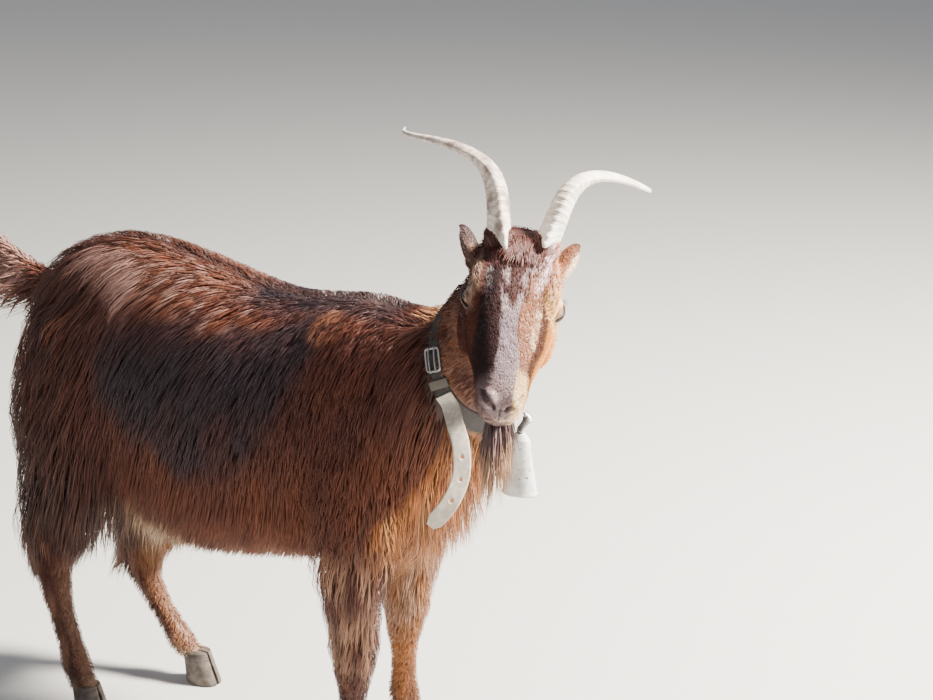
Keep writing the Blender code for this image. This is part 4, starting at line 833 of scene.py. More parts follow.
def body_colours(points):
    """Trunk, neck and tail."""
    station, angle = trunk_place(points)
    turn = np.abs(angle)
    x, y, z = points.T
    streak = waves(points * (1, 1, 0.30), 0.030, 3)
    blot = waves(points, 0.13, 9)
    fine = waves(points * (1, 1, 0.45), 0.014, 14)
    low = ramp(turn, 84, 112) * ramp(station, 4.5, 6.0)
    # Over the back: partly its redder hair, partly painted sun sheen on its top with pink streaks.
    croup = spot(station, 4.7, 1.7, 0.9) * ramp(turn, 50, 36)
    saddle = saddle_share(station, turn, streak, blot)
    behind = ramp(station, 3.6, 2.4) * ramp(turn, 32, 48)
    # Painted highlight: the sun's glossy pink streaks in an arc over the hip.
    arc = spot(turn - 11 * (station - 2.4), 22, 8, 10) * spot(station, 3.2, 0.8, 0.6)
    withers_dark = spot(station, 8.3, 1.5, 0.9) * ramp(turn, 30, 18)
    # Painted highlight: a small patch of sun sheen on the shoulder.
    lit = spot(station, 8.40, 0.15, 0.28) * spot(turn, 32, 5, 9)
    crest = ramp(turn, 9, 3) * spot(station, 5.6, 4.4, 1.4)
    belly = ramp(turn, 122, 150) * spot(station, 6.4, 2.3, 0.8)
    tuft = ramp(turn, 124, 142) * spot(station, 4.3, 0.7, 0.6)
    neck = ramp(station, 10.6, 11.6)
    # At the withers: partly a paler tuft, partly painted sunlight on it.
    withers = spot(station, 11.6, 0.5, 0.45) * ramp(turn, 34, 16)
    edge = np.interp(station, *CHEST_EDGE) + 4 * streak
    chest = ramp(turn, edge - 3, edge + 6) * ramp(station, 8.1, 8.8) * ramp(z, 0.60, 0.52)
    colour = laid(
        plain(MAHOGANY, points),
        (RED_BROWN, 0.18 + 0.22 * streak + 0.15 * blot + 0.45 * low),
        (RED_BROWN * 1.15, croup * (0.55 + 0.4 * streak)),
        (PINK_TAN * 0.75, croup * (0.12 + 0.8 * fine + 0.3 * blot)),
        (SADDLE, saddle * (0.92 + 0.2 * streak)),
        (DARK_BROWN, behind * (0.85 + 0.3 * streak)),
        (RED_BROWN, behind * (0.55 * streak + 0.35 * fine)),
        (PINK_TAN, arc * (0.70 + 0.6 * streak + 0.3 * fine)),
        (SADDLE, withers_dark * (0.85 + 0.2 * streak)),
        (LIGHT_BROWN * (1.1, 0.85, 0.75), lit * (0.5 + 0.4 * fine)),
        (DARK_BROWN * 0.9, crest * (0.75 + 0.3 * fine)),
        (LIGHT_BROWN, belly * (0.45 + 0.3 * streak)),
        (CREAM * 0.9, tuft * (0.75 + 0.35 * fine)),
        (MAHOGANY * 1.2, neck * ramp(turn, 120, 70) * (0.75 + 0.3 * streak)),
        (ORANGE_TAN * 0.95 + 0.08, withers * (0.9 + 0.3 * fine)),
        (ORANGE_TAN * 0.95, chest * (0.9 + 0.25 * streak)),
        ((0.560, 0.290, 0.130), chest * (fine * 0.7 - 0.10)),
        (MAHOGANY, chest * (waves(points, 0.022, 19) * 0.5 - 0.15)))
    # Next to the collar the coat is darkened: partly hair rubbed by the band, partly painted shade
    # under it.
    rubbed_and_shaded = (spot(past_collar(points), 0.0, 0.018, 0.016) * ramp(z, 0.48, 0.50)
              * ramp(x, 0.28, 0.32))
    tail = ramp(x, -0.400, -0.425) * ramp(z, 0.56, 0.60)
    sides = ramp(np.abs(y), 0.002, 0.012)
    return laid(colour * (1 - 0.65 * rubbed_and_shaded[:, None]),
                (PINK_TAN * 0.95, tail * (0.9 + 0.2 * streak)),
                (PINK_TAN * 1.1, tail * (0.35 + 0.5 * fine) * sides))


def leg_colours(name, points):
    """Dark thighs and long pale feathering on the forelegs; the far legs, which stand in the sun, are
    painted lighter as sunlit.
    """
    place, angle, _ = leg_place(name, points)
    turn = np.radians(angle)
    front, fine = np.cos(turn), waves(points * (1, 1, 0.35), 0.016, 5)
    broad = waves(points * (1, 1, 0.5), 0.06, 11)
    near = name.endswith("right")
    hoof_edge = (BLACK, ramp(place, 3.8, 4.0) * 0.5)
    if name.startswith("hind"):
        lower = ramp(place, 1.35, 2.0)
        # Painted sunlight on the front of the far hind leg.
        sunlit = 0.0 if near else ramp(front, 0.1, 0.7)
        return laid(
            plain(DARK_BROWN * 0.95, points),
            (BLACK * 1.6, 0.25 + 0.4 * fine + 0.35 * broad),
            (RED_BROWN, 0.35 * fine + 0.25 * broad),
            (MAHOGANY * 1.15, lower * (0.7 + 0.3 * broad)),
            (LIGHT_BROWN * 1.1, lower * (0.22 - 0.45 * front + 0.5 * fine)),
            (ORANGE_TAN * 0.55, sunlit * ramp(place, 0.9, 1.5)),
            (LIGHT_BROWN, ramp(front, 0.3, 0.9) * ramp(place, 1.7, 2.2) * 0.7),
            (CREAM * 0.75, ramp(place, 3.0, 3.6) * (0.45 + 0.3 * fine)), hoof_edge)
    # The far foreleg is painted orange as sunlit; the near one keeps the darker coat colours.
    ground, red, darker = ((MAHOGANY * 1.05, 0.35, 0.35) if near
                           else (ORANGE_TAN * 0.80, 0.10, 0.05))
    feather = ramp(place, 0.75, 1.2) * ramp(place, 2.5, 2.0)
    pale = 0.30 + 0.45 * np.abs(np.sin(turn - 0.6)) + 0.5 * fine - darker
    shank = (0.5 if near else 0.2) + 0.3 * broad + 0.2 * front
    return laid(
        plain(ground, points),
        (RED_BROWN, red + 0.4 * fine + 0.3 * broad),
        ((0.400, 0.225, 0.140), feather * pale),
        (DARK_BROWN, ramp(place, 1.9, 2.3) * shank),
        (LIGHT_BROWN, ramp(place, 3.0, 3.6) * 0.6), hoof_edge)


# The blaze down the face and the two strands it splits into: places along, middles, half width
FACE_PLACES = (0.060, 0.071, 0.085, 0.105, 0.120, 0.139, 0.156, 0.184, 0.210, 0.225)
BLAZE_MIDDLE = (-0.001, -0.002, -0.003, -0.004, -0.004, -0.004, -0.0025, -0.002, -0.002, -0.003)
BLAZE_HALF = (0.002, 0.003, 0.004, 0.006, 0.008, 0.009, 0.0105, 0.0130, 0.0140, 0.0145)
STRAND_RIGHT = (-0.015, -0.0155, -0.015, -0.0135, -0.010, -0.007, -0.006, -0.006, -0.006, -0.006)
STRAND_LEFT = (0.012, 0.010, 0.0075, 0.005, 0.002, 0.000, 0.000, 0.000, 0.000, 0.000)
# The dark slanting stripe on the left: places along the face and its middle
STRIPE_LINE = ((0.118, 0.139, 0.152, 0.177, 0.190, 0.205),
               (0.0400, 0.0395, 0.0390, 0.0320, 0.0300, 0.0285))


def forehead_colours(colour, local, fine, broad):
    """Poll and forehead: red-brown on the right, a pink and white patch under the left horn."""
    x, y, _ = local.T
    top = ramp(x, 0.068, 0.050)
    band = spot(y - np.interp(x, (0.0, 0.055, 0.085), (0.037, 0.036, 0.027)), 0, 0.003, 0.005)
    temple = ramp(y, 0.041, 0.047) * ramp(x, 0.075, 0.055)
    return laid(
        colour,
        ((0.075, 0.025, 0.020), top * ramp(y, 0.014, 0.004) * (0.80 + 0.25 * broad)),
        ((0.090, 0.034, 0.028), top * spot(y, 0.010, 0.008, 0.008) * (0.75 + 0.3 * fine)),
        ((0.260, 0.130, 0.115), top * spot(y, 0.026, 0.007, 0.006) * (0.65 + 0.5 * fine)),
        (PINK_WHITE, band * ramp(x, 0.098, 0.080) * (0.80 + 0.4 * fine)),
        ((0.400, 0.140, 0.055), temple * (0.85 + 0.3 * broad)),
        (CREAM, temple * spot(y, 0.0515, 0.0015, 0.003) * (0.5 + 0.6 * fine)))


def left_face_colours(colour, local, fine, broad):
    """The side in the sun: pink tan, a slanting stripe, and an orange cheek with a cream edge."""
    x, y, z = local.T
    left = ramp(y, 0.004, 0.012) * ramp(x, 0.060, 0.080)
    streak = (spot(y, np.interp(x, (0.12, 0.17), (0.031, 0.027)), 0.0030, 0.0035)
              * spot(x, 0.142, 0.022, 0.012))
    line = np.interp(x, *STRIPE_LINE)
    under_eye = ramp(z, -0.050, -0.062) * ramp(y, 0.020, 0.030) * ramp(x, -0.010, 0.015)
    cheek = np.maximum(ramp(y, line - 0.001, line + 0.004) * ramp(x, 0.096, 0.112), under_eye)
    half = np.interp(x, (0.13, 0.19), (0.0042, 0.0018))
    stripe = spot(y, line, half, 0.0030) * spot(x, 0.160, 0.048, 0.012)
    inner = spot(y, 0.0345, 0.0012, 0.0028) * spot(x, 0.097, 0.010, 0.008)
    return laid(
        colour,
        ((0.330, 0.140, 0.075), left * (0.85 + 0.25 * broad)),
        (CREAM * 0.95, streak * (0.45 + 0.6 * fine)),
        ((0.480, 0.180, 0.025), cheek * (0.95 + 0.2 * fine)),
        ((0.660, 0.330, 0.150), cheek * ramp(y, 0.052, 0.060) * (0.6 + 0.4 * fine)),
        ((0.050, 0.014, 0.006), stripe * 0.92),
        ((0.090, 0.028, 0.010), inner * 0.8))


def blaze_colours(colour, local, fine, points):
    """The mauve blaze down the nose, split above into two wavy pale strands on dark hair."""
    x, y, z = local.T
    sway = 0.0016 * waves(points, 0.016, 17)
    dark = spot(y, -0.004, 0.018, 0.004) * spot(x, 0.082, 0.016, 0.016)
    middle, half = (np.interp(x, FACE_PLACES, line) for line in (BLAZE_MIDDLE, BLAZE_HALF))
    ragged = half * (1 + 0.16 * waves(points, 0.009, 21))
    blaze = ramp(np.abs(y - middle - sway), ragged * 1.25, ragged * 0.85) * ramp(x, 0.108, 0.128)
    patches = [((0.070, 0.029, 0.027), dark * 0.85),
               (MAUVE, blaze * ramp(z, -0.060, -0.040) * (0.90 + 0.25 * fine))]
    for line, wide in ((STRAND_RIGHT, 0.0030), (STRAND_LEFT, 0.0042)):
        away = np.abs(y - np.interp(x, FACE_PLACES, line) - 1.5 * sway)
        strand = ramp(away, wide * 1.5, wide * 0.6) * spot(x, 0.092, 0.030, 0.010)
        patches.append(((0.380, 0.280, 0.280), strand * (0.62 + 0.75 * waves(points, 0.008, 6))))
    return laid(colour, *patches)


def muzzle_colours(colour, local, broad):
    """Grey-mauve nose, cream left lip, dark mouth, brown chin; the nostrils darkened with painted
    shade.
    """
    x, y, z = local.T
    muzzle = ramp(x, 0.200, 0.226) * ramp(y, 0.020, 0.012)
    shadow = ramp(z, -0.036, -0.046) * ramp(y, 0.004, -0.008)
    height, share = mouth_offset(local)
    wing = ramp(y, 0.0105, 0.0150) * ramp(x, 0.196, 0.210) * ramp(y, 0.032, 0.026)
    lip = spot(height, 0.004, 0.004, 0.003) * ramp(x, 0.215, 0.235) * ramp(y, -0.010, 0.002)
    chin = ramp(height, -0.002, -0.006) * ramp(x, 0.185, 0.205)
    cleft = (spot(y, 0.0, 0.0004, 0.0014) * ramp(z, -0.062, -0.056) * ramp(z, -0.030, -0.036)
             * ramp(x, 0.235, 0.242))
    near = (x > 0.21) & (np.abs(y) < 0.034)
    # Painted shade: the nostril hollows are laid over with near-black.
    hollows = np.zeros((len(SIDES), len(local)))
    for hollow, side in zip(hollows, SIDES.values()):
        hollow[near] = nostril_depth(local[near], side)
    return laid(
        colour,
        (MUZZLE, muzzle * (0.80 + 0.25 * broad)),
        ((0.150, 0.085, 0.078), muzzle * shadow * 0.8),
        ((0.760, 0.520, 0.270), wing * 0.95),
        (CREAM * 1.05, lip * 0.95),
        ((0.120, 0.070, 0.060), chin * 0.85),
        (BLACK, cleft * 0.8),
        (BLACK, bump_of(height, 0.0013, share) * 0.9),
        *[(BLACK * 0.6, hollow * 2.4) for hollow in hollows])


def eye_distance(local, side):
    return np.linalg.norm(local - mirrored(EYE_PLACE, side), axis=1)


def head_colours(points):
    """Near-black right side, partly painted shade; pale blaze, sunlit cream and orange left side,
    grey muzzle.
    """
    local = to_head(points)
    x, y, z = local.T
    fine, broad = waves(points, 0.007, 2), waves(points, 0.030, 8)
    # The right side of the face: dark hair, painted darker still as the shade it lies in.
    dark = (ramp(y, -0.046, -0.038) * ramp(y, -0.002, -0.010) * ramp(x, 0.040, 0.054)
            * ramp(z, -0.060, -0.045))
    colour = laid(
        plain(MAHOGANY * 0.80, points),
        (RED_BROWN * 0.9, 0.20 + 0.3 * broad + 0.2 * fine),
        ((0.026, 0.012, 0.013), dark * (0.92 + 0.1 * broad)))
    colour = left_face_colours(colour, local, fine, broad)
    colour = laid(colour, (MAHOGANY * 0.85, ramp(x, 0.012, -0.015) * (0.8 + 0.2 * broad)))
    colour = forehead_colours(colour, local, fine, broad)
    colour = blaze_colours(colour, local, fine, points)
    above = ramp(y, -0.044, -0.050) * spot(x, 0.062, 0.026, 0.014) * ramp(z, -0.052, -0.040)
    left_eye = ramp(eye_distance(local, 1), 0.037, 0.029) * ramp(x, 0.050, 0.062)
    colour = laid(colour,
                  ((0.400, 0.260, 0.185), above * (0.75 + 0.4 * fine)),
                  ((0.700, 0.400, 0.160), left_eye * (0.85 + 0.2 * fine)))
    colour = muzzle_colours(colour, local, broad)
    jaw = ramp(z, -0.088, -0.108) * ramp(x, 0.19, 0.16)
    return laid(colour, (LIGHT_BROWN, jaw * (0.25 + 0.3 * broad)))


def ear_colours(points):
    """Dark with a black tip; the left ear is rust inside with a cream outer rim."""
    side, _, away, along = ear_place(points)
    rimward = (away - (away @ EAR_AXIS)[:, None] * EAR_AXIS)[:, 1]
    fine = waves(points, 0.006, 4)
    return laid(
        plain((0.090, 0.055, 0.050), points),
        (LIGHT_BROWN * 0.8, (side < 0) * ramp(along, 0.45, 0.15) * (0.5 + 0.4 * fine)),
        ((0.200, 0.068, 0.025), (side > 0) * (0.85 + 0.2 * fine)),
        (CREAM, (side > 0) * ramp(rimward, 0.005, 0.009) * ramp(along, 0.80, 0.65)),
        (BLACK, ramp(along, 0.70, 0.90) * np.where(side > 0, 0.80, 0.95)))


def coat_colours(points, shares):
    """Trunk colours, with each leg's colours laid over them by its share."""
    legs = [(leg_colours(leg, points), share) for leg, share in shares.items()]
    return laid(body_colours(points), *legs)


body_sample = body_colours(np.array([[0.0, -0.15, 0.5], [0.4, -0.02, 0.62]]))
print("flank and chest colours:", body_sample.round(3).tolist())

# %% [markdown]
# Every tuft starts from a root on the skin. Roots are drawn at random from the skin's triangles,
# more of them where the hair is short, since short hair needs more tufts to cover the same skin.
# %% Roots on the skin
def scattered(points, triangles, density, limit=None):
    """Random points on triangles: density gives how many for each square metre at a place."""
    corners = points[triangles]
    cross = np.cross(corners[:, 1] - corners[:, 0], corners[:, 2] - corners[:, 0])
    expected = density(corners.mean(1)) * (np.linalg.norm(cross, axis=1) / 2)
    count = int(expected.sum()) if limit is None else limit
    chosen = np.searchsorted(np.cumsum(expected) / expected.sum(), rng.random(count))
    a, b = rng.random((2, count, 1))
    flip = a + b > 1
    a, b = np.where(flip, 1 - a, a), np.where(flip, 1 - b, b)
    first, second, third = np.moveaxis(corners[np.minimum(chosen, len(triangles) - 1)], 1, 0)
    return first + (second - first) * a + (third - first) * b


skin_points = points_of(skin)
skin_triangles = triangles_of(skin)
first_corner = skin_triangles[:, 0]
body_triangles = skin_triangles[first_corner < body_end]
head_triangles = skin_triangles[(first_corner >= body_end) & (first_corner < head_end)]
ear_triangles = skin_triangles[first_corner >= lids_end]
print("triangles on body, head, ears:", *map(len, (body_triangles, head_triangles, ear_triangles)))

# %% [markdown]
# Combing: from its root each tuft takes a few steps the way the hair lies. After each step it is
# put back at its own height over the skin, so it follows the body; only where the body turns under
# does it leave the skin and hang. Neighbouring tufts are drawn together at their tips into a lock.
# %% Combing
def lock_groups(roots, size):
    """Roots in one warped cubic cell form a lock: the group of each root, and its lock's middle."""
    warp = np.stack([waves(roots, size * 5, k) for k in range(3)], 1) * 1.3
    cells = np.floor(roots / size + warp).astype(int)
    _, group = np.unique(cells, axis=0, return_inverse=True)
    group = group.ravel()
    size_of = np.bincount(group)
    middle = np.stack([np.bincount(group, roots[:, k]) / size_of for k in range(3)], 1)
    return group, middle[group]


def combed(roots, lie, length, lift, steps=3, pull=0.5, fall=0.3, cell=0.02):
    """Spines of tufts as points, and the way out at each: rows are tufts, columns are steps."""
    foot, facing = nearest_on(skin, roots)
    _, middle = lock_groups(foot, cell)
    lie = unit(lie)
    heading = unit(lie - facing * (lie * facing).sum(1)[:, None] * 0.9)
    place = foot
    spine, outs = [foot - facing * np.minimum(0.004, 0.15 * length)[:, None]], [facing]
    together = (middle - foot) * pull
    for k in range(1, steps + 1):
        share = k / steps
        gather = share**1.5 - ((k - 1) / steps) ** 1.5
        heading = unit(heading * (1 - fall) + lie * fall)
        place = place + heading * (length / steps)[:, None] + together * gather
        near, way = nearest_on(skin, place)
        height = ((place - near) * way).sum(1)
        wanted = lift * ramp(share, -0.1, 0.6) * (1 - 0.25 * ramp(share, 0.7, 1.0))
        free = ramp(-way[:, 2], 0.05, 0.45)
        height = wanted + (np.maximum(height, wanted) - wanted) * free
        place = near + way * height[:, None]
        heading = unit(place - spine[-1])
        spine.append(place)
        outs.append(way)
    return np.stack(spine, 1), np.stack(outs, 1)


print("locks among the first roots:", lock_groups(skin_points[:500], 0.02)[0].max() + 1)

# %% [markdown]
# A tuft is a thin three-sided spike along its spine, flat towards the skin and pointed at the tip.
# Its outline widens from the root and tapers away. All tufts of a piece are written as one mesh,
# with the colour of each corner, the place on the tuft for the strands, and a small patch of the
# bake map.
# %% Tufts as solid spikes
# Width at each spine point but the last, by the number of steps
TUFT_OUTLINES = {2: (0.85, 0.80), 3: (0.75, 1.00, 0.72), 4: (0.70, 1.00, 0.88, 0.55),
                 5: (0.7, 1.0, 0.95, 0.75, 0.42)}
PATCH = 0.003
ROOT_SHADE = 0.72


def spikes(spine, outs, width, thick, roll):
    """Three corners round each spine point but the last: left edge, back, right edge."""
    heading = unit(np.gradient(spine, axis=1))[:, :-1]
    out = outs[:, :-1]
    across = unit(np.cross(heading, out))
    out = np.cross(across, heading)
    cos, sin = np.cos(roll)[:, None, None], np.sin(roll)[:, None, None]
    across, out = across * cos + out * sin, out * cos - across * sin
    outline = np.array(TUFT_OUTLINES[spine.shape[1] - 1])[None, :, None]
    wide = width[:, None, None] / 2 * outline
    middle = spine[:, :-1]
    left, right = middle - across * wide, middle + across * wide
    rings = np.stack([left, middle + out * wide * thick, right], 2)
    return np.concatenate([rings.reshape(len(spine), -1, 3), spine[:, -1:]], 1)


def spike_faces(count, steps):
    """Quads between the rings of every spike, then its base and its tip."""
    corners, last = 3 * steps + 1, 3 * (steps - 1)
    quads = [(3 * k + j, 3 * k + (j + 1) % 3, 3 * k + (j + 1) % 3 + 3, 3 * k + j + 3)
             for k in range(steps - 1) for j in range(3)]
    triangles = [(2, 1, 0)] + [(last + j, last + (j + 1) % 3, corners - 1) for j in range(3)]
    starts = (np.arange(count) * corners)[:, None, None]
    return ((np.array(quads)[None] + starts).reshape(-1, 4),
            (np.array(triangles)[None] + starts).reshape(-1, 3))


def paint(obj, colours):
    """The colour of each point, for the materials of skin and coat."""
    layer = obj.data.color_attributes.new("coat_colour", "FLOAT_COLOR", "POINT")
    opaque = np.concatenate([np.clip(colours, 0, 1), np.ones((len(colours), 1))], 1)
    layer.data.foreach_set("color", opaque.astype(np.float32).ravel())


def carry(obj, name, kind, values):
    """Numbers that each point carries for its material."""
    layer = obj.data.attributes.new(name, kind, "POINT")
    field = "vector" if kind == "FLOAT_VECTOR" else "value"
    layer.data.foreach_set(field, values.astype(np.float32).ravel())


def write_bake_map(obj, places):
    corners = np.empty(len(obj.data.loops), np.int32)
    obj.data.loops.foreach_get("vertex_index", corners)
    layer = obj.data.uv_layers.new(name="OFBake")
    layer.data.foreach_set("uv", places[corners].astype(np.float32).ravel())


def map_places(u, v):
    """Places on the bake map for tufts, kept a little inside its edge."""
    return np.clip(np.stack([u, v], 1), 0, 1) * 0.98 + 0.01


def full_turn(angle):
    """An angle in degrees from -180 to 180 as a share of the circle."""
    return (angle + 180) / 360


def coat_piece(name, spine, outs, width, thick, colour, tip, place_uv):
    """One mesh of tufts: colour fades from root to tip, and each tuft gets its patch of the map."""
    count, steps = len(spine), spine.shape[1] - 1
    points = spikes(spine, outs, width, thick, rng.normal(0, 0.30, count))
    obj = mesh_object(name, (points.reshape(-1, 3), *spike_faces(count, steps)))
    along = np.append(np.repeat(np.arange(steps), 3), steps) / steps
    across = np.append(np.tile([-1.0, 0.0, 1.0], steps), 0.0)
    fade = ramp(along, 0.25, 1.0)[None, :, None]
    tint = colour[:, None] * (1 - fade) + tip[:, None] * fade
    tint = tint * (ROOT_SHADE + (1 - ROOT_SHADE) * ramp(along, 0.0, 0.35))[None, :, None]
    paint(obj, tint.reshape(-1, 3))
    seed = rng.random(count)[:, None]
    strand = np.stack([across[None] + 0 * seed, along[None] + 0 * seed, seed + 0 * along[None]], -1)
    carry(obj, "strand", "FLOAT_VECTOR", strand)
    patch = place_uv[:, None] + np.stack([across * 0.5, along - 0.5], -1)[None] * PATCH
    write_bake_map(obj, patch.reshape(-1, 2))
    return obj


print("triangles of a tuft of three steps:", 2 * len(spike_faces(1, 3)[0]) + 4)

# %% [markdown]
# Hair on the trunk lies back along the spine and falls down the sides; on the neck it leans to the
# withers; on the legs it runs down. Its length changes slowly from the short crest to the long
# flank. These rules are read from tables by the place on the body, so each is one curve.
# %% How the body's hair lies and how long it is
# Parts of the lie backward, outward and down, by the angle down the side
LIE_TURNS = (0, 17, 50, 82, 114, 150, 180)
LIE_BACK = (2.0, 1.05, 0.46, 0.24, 0.16, 0.7, 2.1)
LIE_OUT = (0.3, 0.9, 0.5, 0.1, -0.08, -0.08, 0.0)
LIE_DOWN = (0.1, 0.85, 1.0, 1.0, 1.0, 0.8, 0.35)
# Length by the angle down the side, and what is left of it by the station
LENGTH_TURNS = (0, 15, 45, 80, 115, 150, 180)
TRUNK_LENGTH = (0.060, 0.085, 0.105, 0.110, 0.090, 0.050, 0.036)
SHORTER_AHEAD = ((3.2, 5.5, 8.0), (1.0, 0.66, 0.45))
# Of the legs: place along the joints and length, how much longer behind, and between which heights
# the leg takes over from the trunk
LEG_HAIR = {
    "hind": (((0.0, 0.5, 1.1, 1.4, 1.7, 1.95, 2.2, 2.6, 4.0),
              (0.11, 0.135, 0.135, 0.105, 0.07, 0.035, 0.017, 0.011, 0.010)), 0.15, (0.52, 0.40)),
    "fore": (((0.0, 0.6, 1.1, 1.5, 1.8, 2.05, 2.3, 2.7, 4.0),
              (0.09, 0.085, 0.080, 0.064, 0.050, 0.030, 0.016, 0.011, 0.010)), 0.5, (0.43, 0.385)),
}


def leg_hair(name, points):
    """Lie, length and coat depth on a leg, and 1 where points belong to it, 0 on the trunk."""
    table, longer_behind, top = LEG_HAIR[name[:4]]
    place, angle, out = leg_place(name, points)
    own_side = np.sign(points[:, 1]) == np.sign(LEGS[name][1][1])
    near = ramp(out, 1.45, 1.15) * own_side
    share = near * (np.abs(points[:, 1]) > 0.02) * ramp(points[:, 2], *top)
    behind = ramp(-np.cos(np.radians(angle)), -0.2, 0.8)
    hock = spot(place, 1.98, 0.10, 0.08) * ramp(behind, 0.6, 0.9)
    length = np.interp(place, *table) * (1 + longer_behind * behind * (place < 2.2))
    lie = np.stack([-0.20 - 0.5 * hock - 0.12 * behind, 0 * place, -1 + 0 * place], 1)
    return lie, length + 0.028 * hock, leg_sizes(name, place)[2][:, 0], share


def body_hair(points):
    """Station and angle, lie, length, coat depth and the share of each leg on the body's skin."""
    station, angle = trunk_place(points)
    turn, side = np.abs(angle), np.sign(angle + 1e-9)
    back = np.interp(turn, LIE_TURNS, LIE_BACK) * np.interp(station, (6.0, 8.0), (1.0, 0.35))
    down = np.interp(turn, LIE_TURNS, LIE_DOWN)
    lie = np.stack([-back, side * np.interp(turn, LIE_TURNS, LIE_OUT), -down], 1)
    length = np.interp(turn, LENGTH_TURNS, TRUNK_LENGTH) * np.interp(station, *SHORTER_AHEAD)
    above, beside, below = smooth_rows(TRUNK, station)[:, ABOVE:BELOW + 1].T
    depth = np.interp(turn, (0, 90, 180), (0, 1, 2))
    coat = np.where(depth < 1, above + (beside - above) * depth,
                    beside + (below - beside) * (depth - 1))

    def hung(rearward, out):
        return np.stack([rearward + 0 * side, side * out, -1 + 0 * side], 1)

    # Each region: its share, its lie, and its length where it has one
    neck_top = spot(station, 11.4, 0.8, 0.5) * ramp(turn, 34, 14)
    brisket = ramp(turn, 118, 150) * ramp(station, 8.4, 9.4) * ramp(station, 12.2, 11.6)
    for share, way, reach in ((ramp(station, 1.8, 0.3), hung(-0.25, 0.12), 0.125),
                              (ramp(station, 9.8, 11.0), hung(-0.22, 0.15), 0.072),
                              (neck_top, np.array([-0.8, 0.0, 0.55]), None),
                              (brisket, hung(-0.08, 0.06), 0.098)):
        lie = blend(lie, way, share)
        length = length * (1 - 0.4 * share) if reach is None else blend(length, reach, share)
    groin = ramp(turn, 118, 140) * spot(station, 3.7, 0.5, 0.6)
    length = length + 0.065 * groin
    lie = blend(lie, np.array([-0.25, 0, -1.0]), groin)
    shares = {}
    for name in LEGS:
        leg_lie, leg_length, leg_coat, share = leg_hair(name, points)
        lie, length, coat = (blend(lie, leg_lie, share), blend(length, leg_length, share),
                             blend(coat, leg_coat, share))
        shares[name] = share
    return station, angle, lie, length, coat, shares


def tuft_width(length):
    """Wider tufts where the hair is longer."""
    return 0.0009 + 0.0095 * length


def body_density(points):
    """Tufts for each square metre: enough for several layers of overlap; none under the collar."""
    length = body_hair(points)[3]
    x, _, z = points.T
    layers = np.interp(length, (0.010, 0.02, 0.05, 0.1), (1.9, 3.0, 4.6, 5.2))
    density = layers / (length * tuft_width(length))
    worn = (past_collar(points) > -COLLAR_HALF_WIDTH - 0.001) & (z > 0.50) & (x > 0.30)
    dock = ramp(x, -0.392, -0.402) * (z > 0.62)
    return density * ~worn * (1 - dock) * (z > CORONET_HEIGHT + 0.001)


body_roots = scattered(skin_points, body_triangles, body_density)
print("body tufts:", len(body_roots))

# %% [markdown]
# The long coat is grown in belts from rump to neck and then leg by leg, so that no piece gets too
# heavy. Each belt's tufts get their own spread of length, width and height over the skin; tufts of
# one lock share part of that spread, which is what makes locks stand out from each other.
# %% Coat of the trunk and legs
LOCK_SIZE = 0.022
SHORT_HAIR = 0.024
STATION_SPAN = 15
BELTS = {"coat_rump": (-1.0, 1.6), "coat_croup": (1.6, 3.1), "coat_loin": (3.1, 4.6),
         "coat_barrel": (4.6, 6.1), "coat_ribs": (6.1, 7.7), "coat_shoulder": (7.7, 9.6),
         "coat_chest_and_neck": (9.6, 13.0)}


def lock_spread(group, spread):
    """A random factor that all tufts of a lock share."""
    return 1 + spread * rng.uniform(-1, 1, group.max() + 1)[group]


def shaded(colour, group):
    """Colours with each lock and each tuft a little lighter or darker, and warmer or cooler."""
    light = lock_spread(group, 0.10) * rng.uniform(0.86, 1.15, len(colour))
    warm = rng.uniform(-0.05, 0.05, (len(colour), 1)) * np.array([1, 0, -1])
    return colour * light[:, None] * (1 + warm)


def body_piece(name, roots, part, steps):
    """One coat piece of the trunk or of a leg. Short hair lies flat and apart; the longer it is,
    the more it gathers into locks, stands off and strays. A tuft has the colour of the place that
    its middle covers."""
    count = len(roots)
    station, angle, lie, length, coat, shares = body_hair(roots)
    group, _ = lock_groups(roots, LOCK_SIZE)
    smooth = spot(station, 7.5, 3.2, 1.5) * ramp(np.abs(angle), 140, 115) * (part not in LEGS)
    loose = 1 - 0.88 * smooth
    flow = np.stack([waves(roots, 0.11, 4), 0.6 * waves(roots, 0.09, 12), 0 * length], 1) * 0.09
    lie = unit(lie) + (flow + rng.normal(0, 0.055, lie.shape)) * loose[:, None]
    long = length * (1 + (lock_spread(group, 0.14) - 1) * loose) * rng.uniform(0.74, 1.14, count)
    spread = 0.45 + 0.45 * rng.random(count) * lock_spread(group, 0.35)
    lift = coat * (spread * loose + 0.62 * (1 - loose)) + rng.uniform(0.0004, 0.0022, count)
    pull = (0.50 * loose * ramp(length, 0.015, 0.06))[:, None]
    spine, outs = combed(roots, lie, long, lift, steps, pull, 0.28, LOCK_SIZE)
    width = tuft_width(length) * rng.uniform(0.75, 1.25, count)
    seen = (spine[:, 1] + spine[:, 2]) / 2
    colour = shaded(coat_colours(seen, shares), group)
    if part in LEGS:
        place, turn, _ = leg_place(part, roots)
        where = map_places(place / LEG_END, full_turn(turn))
    else:
        where = map_places(station / STATION_SPAN, full_turn(angle))
    tip = colour * rng.uniform(0.92, 1.22, (count, 1))
    return coat_piece(name, spine, outs, width, 0.40, colour, tip, where)


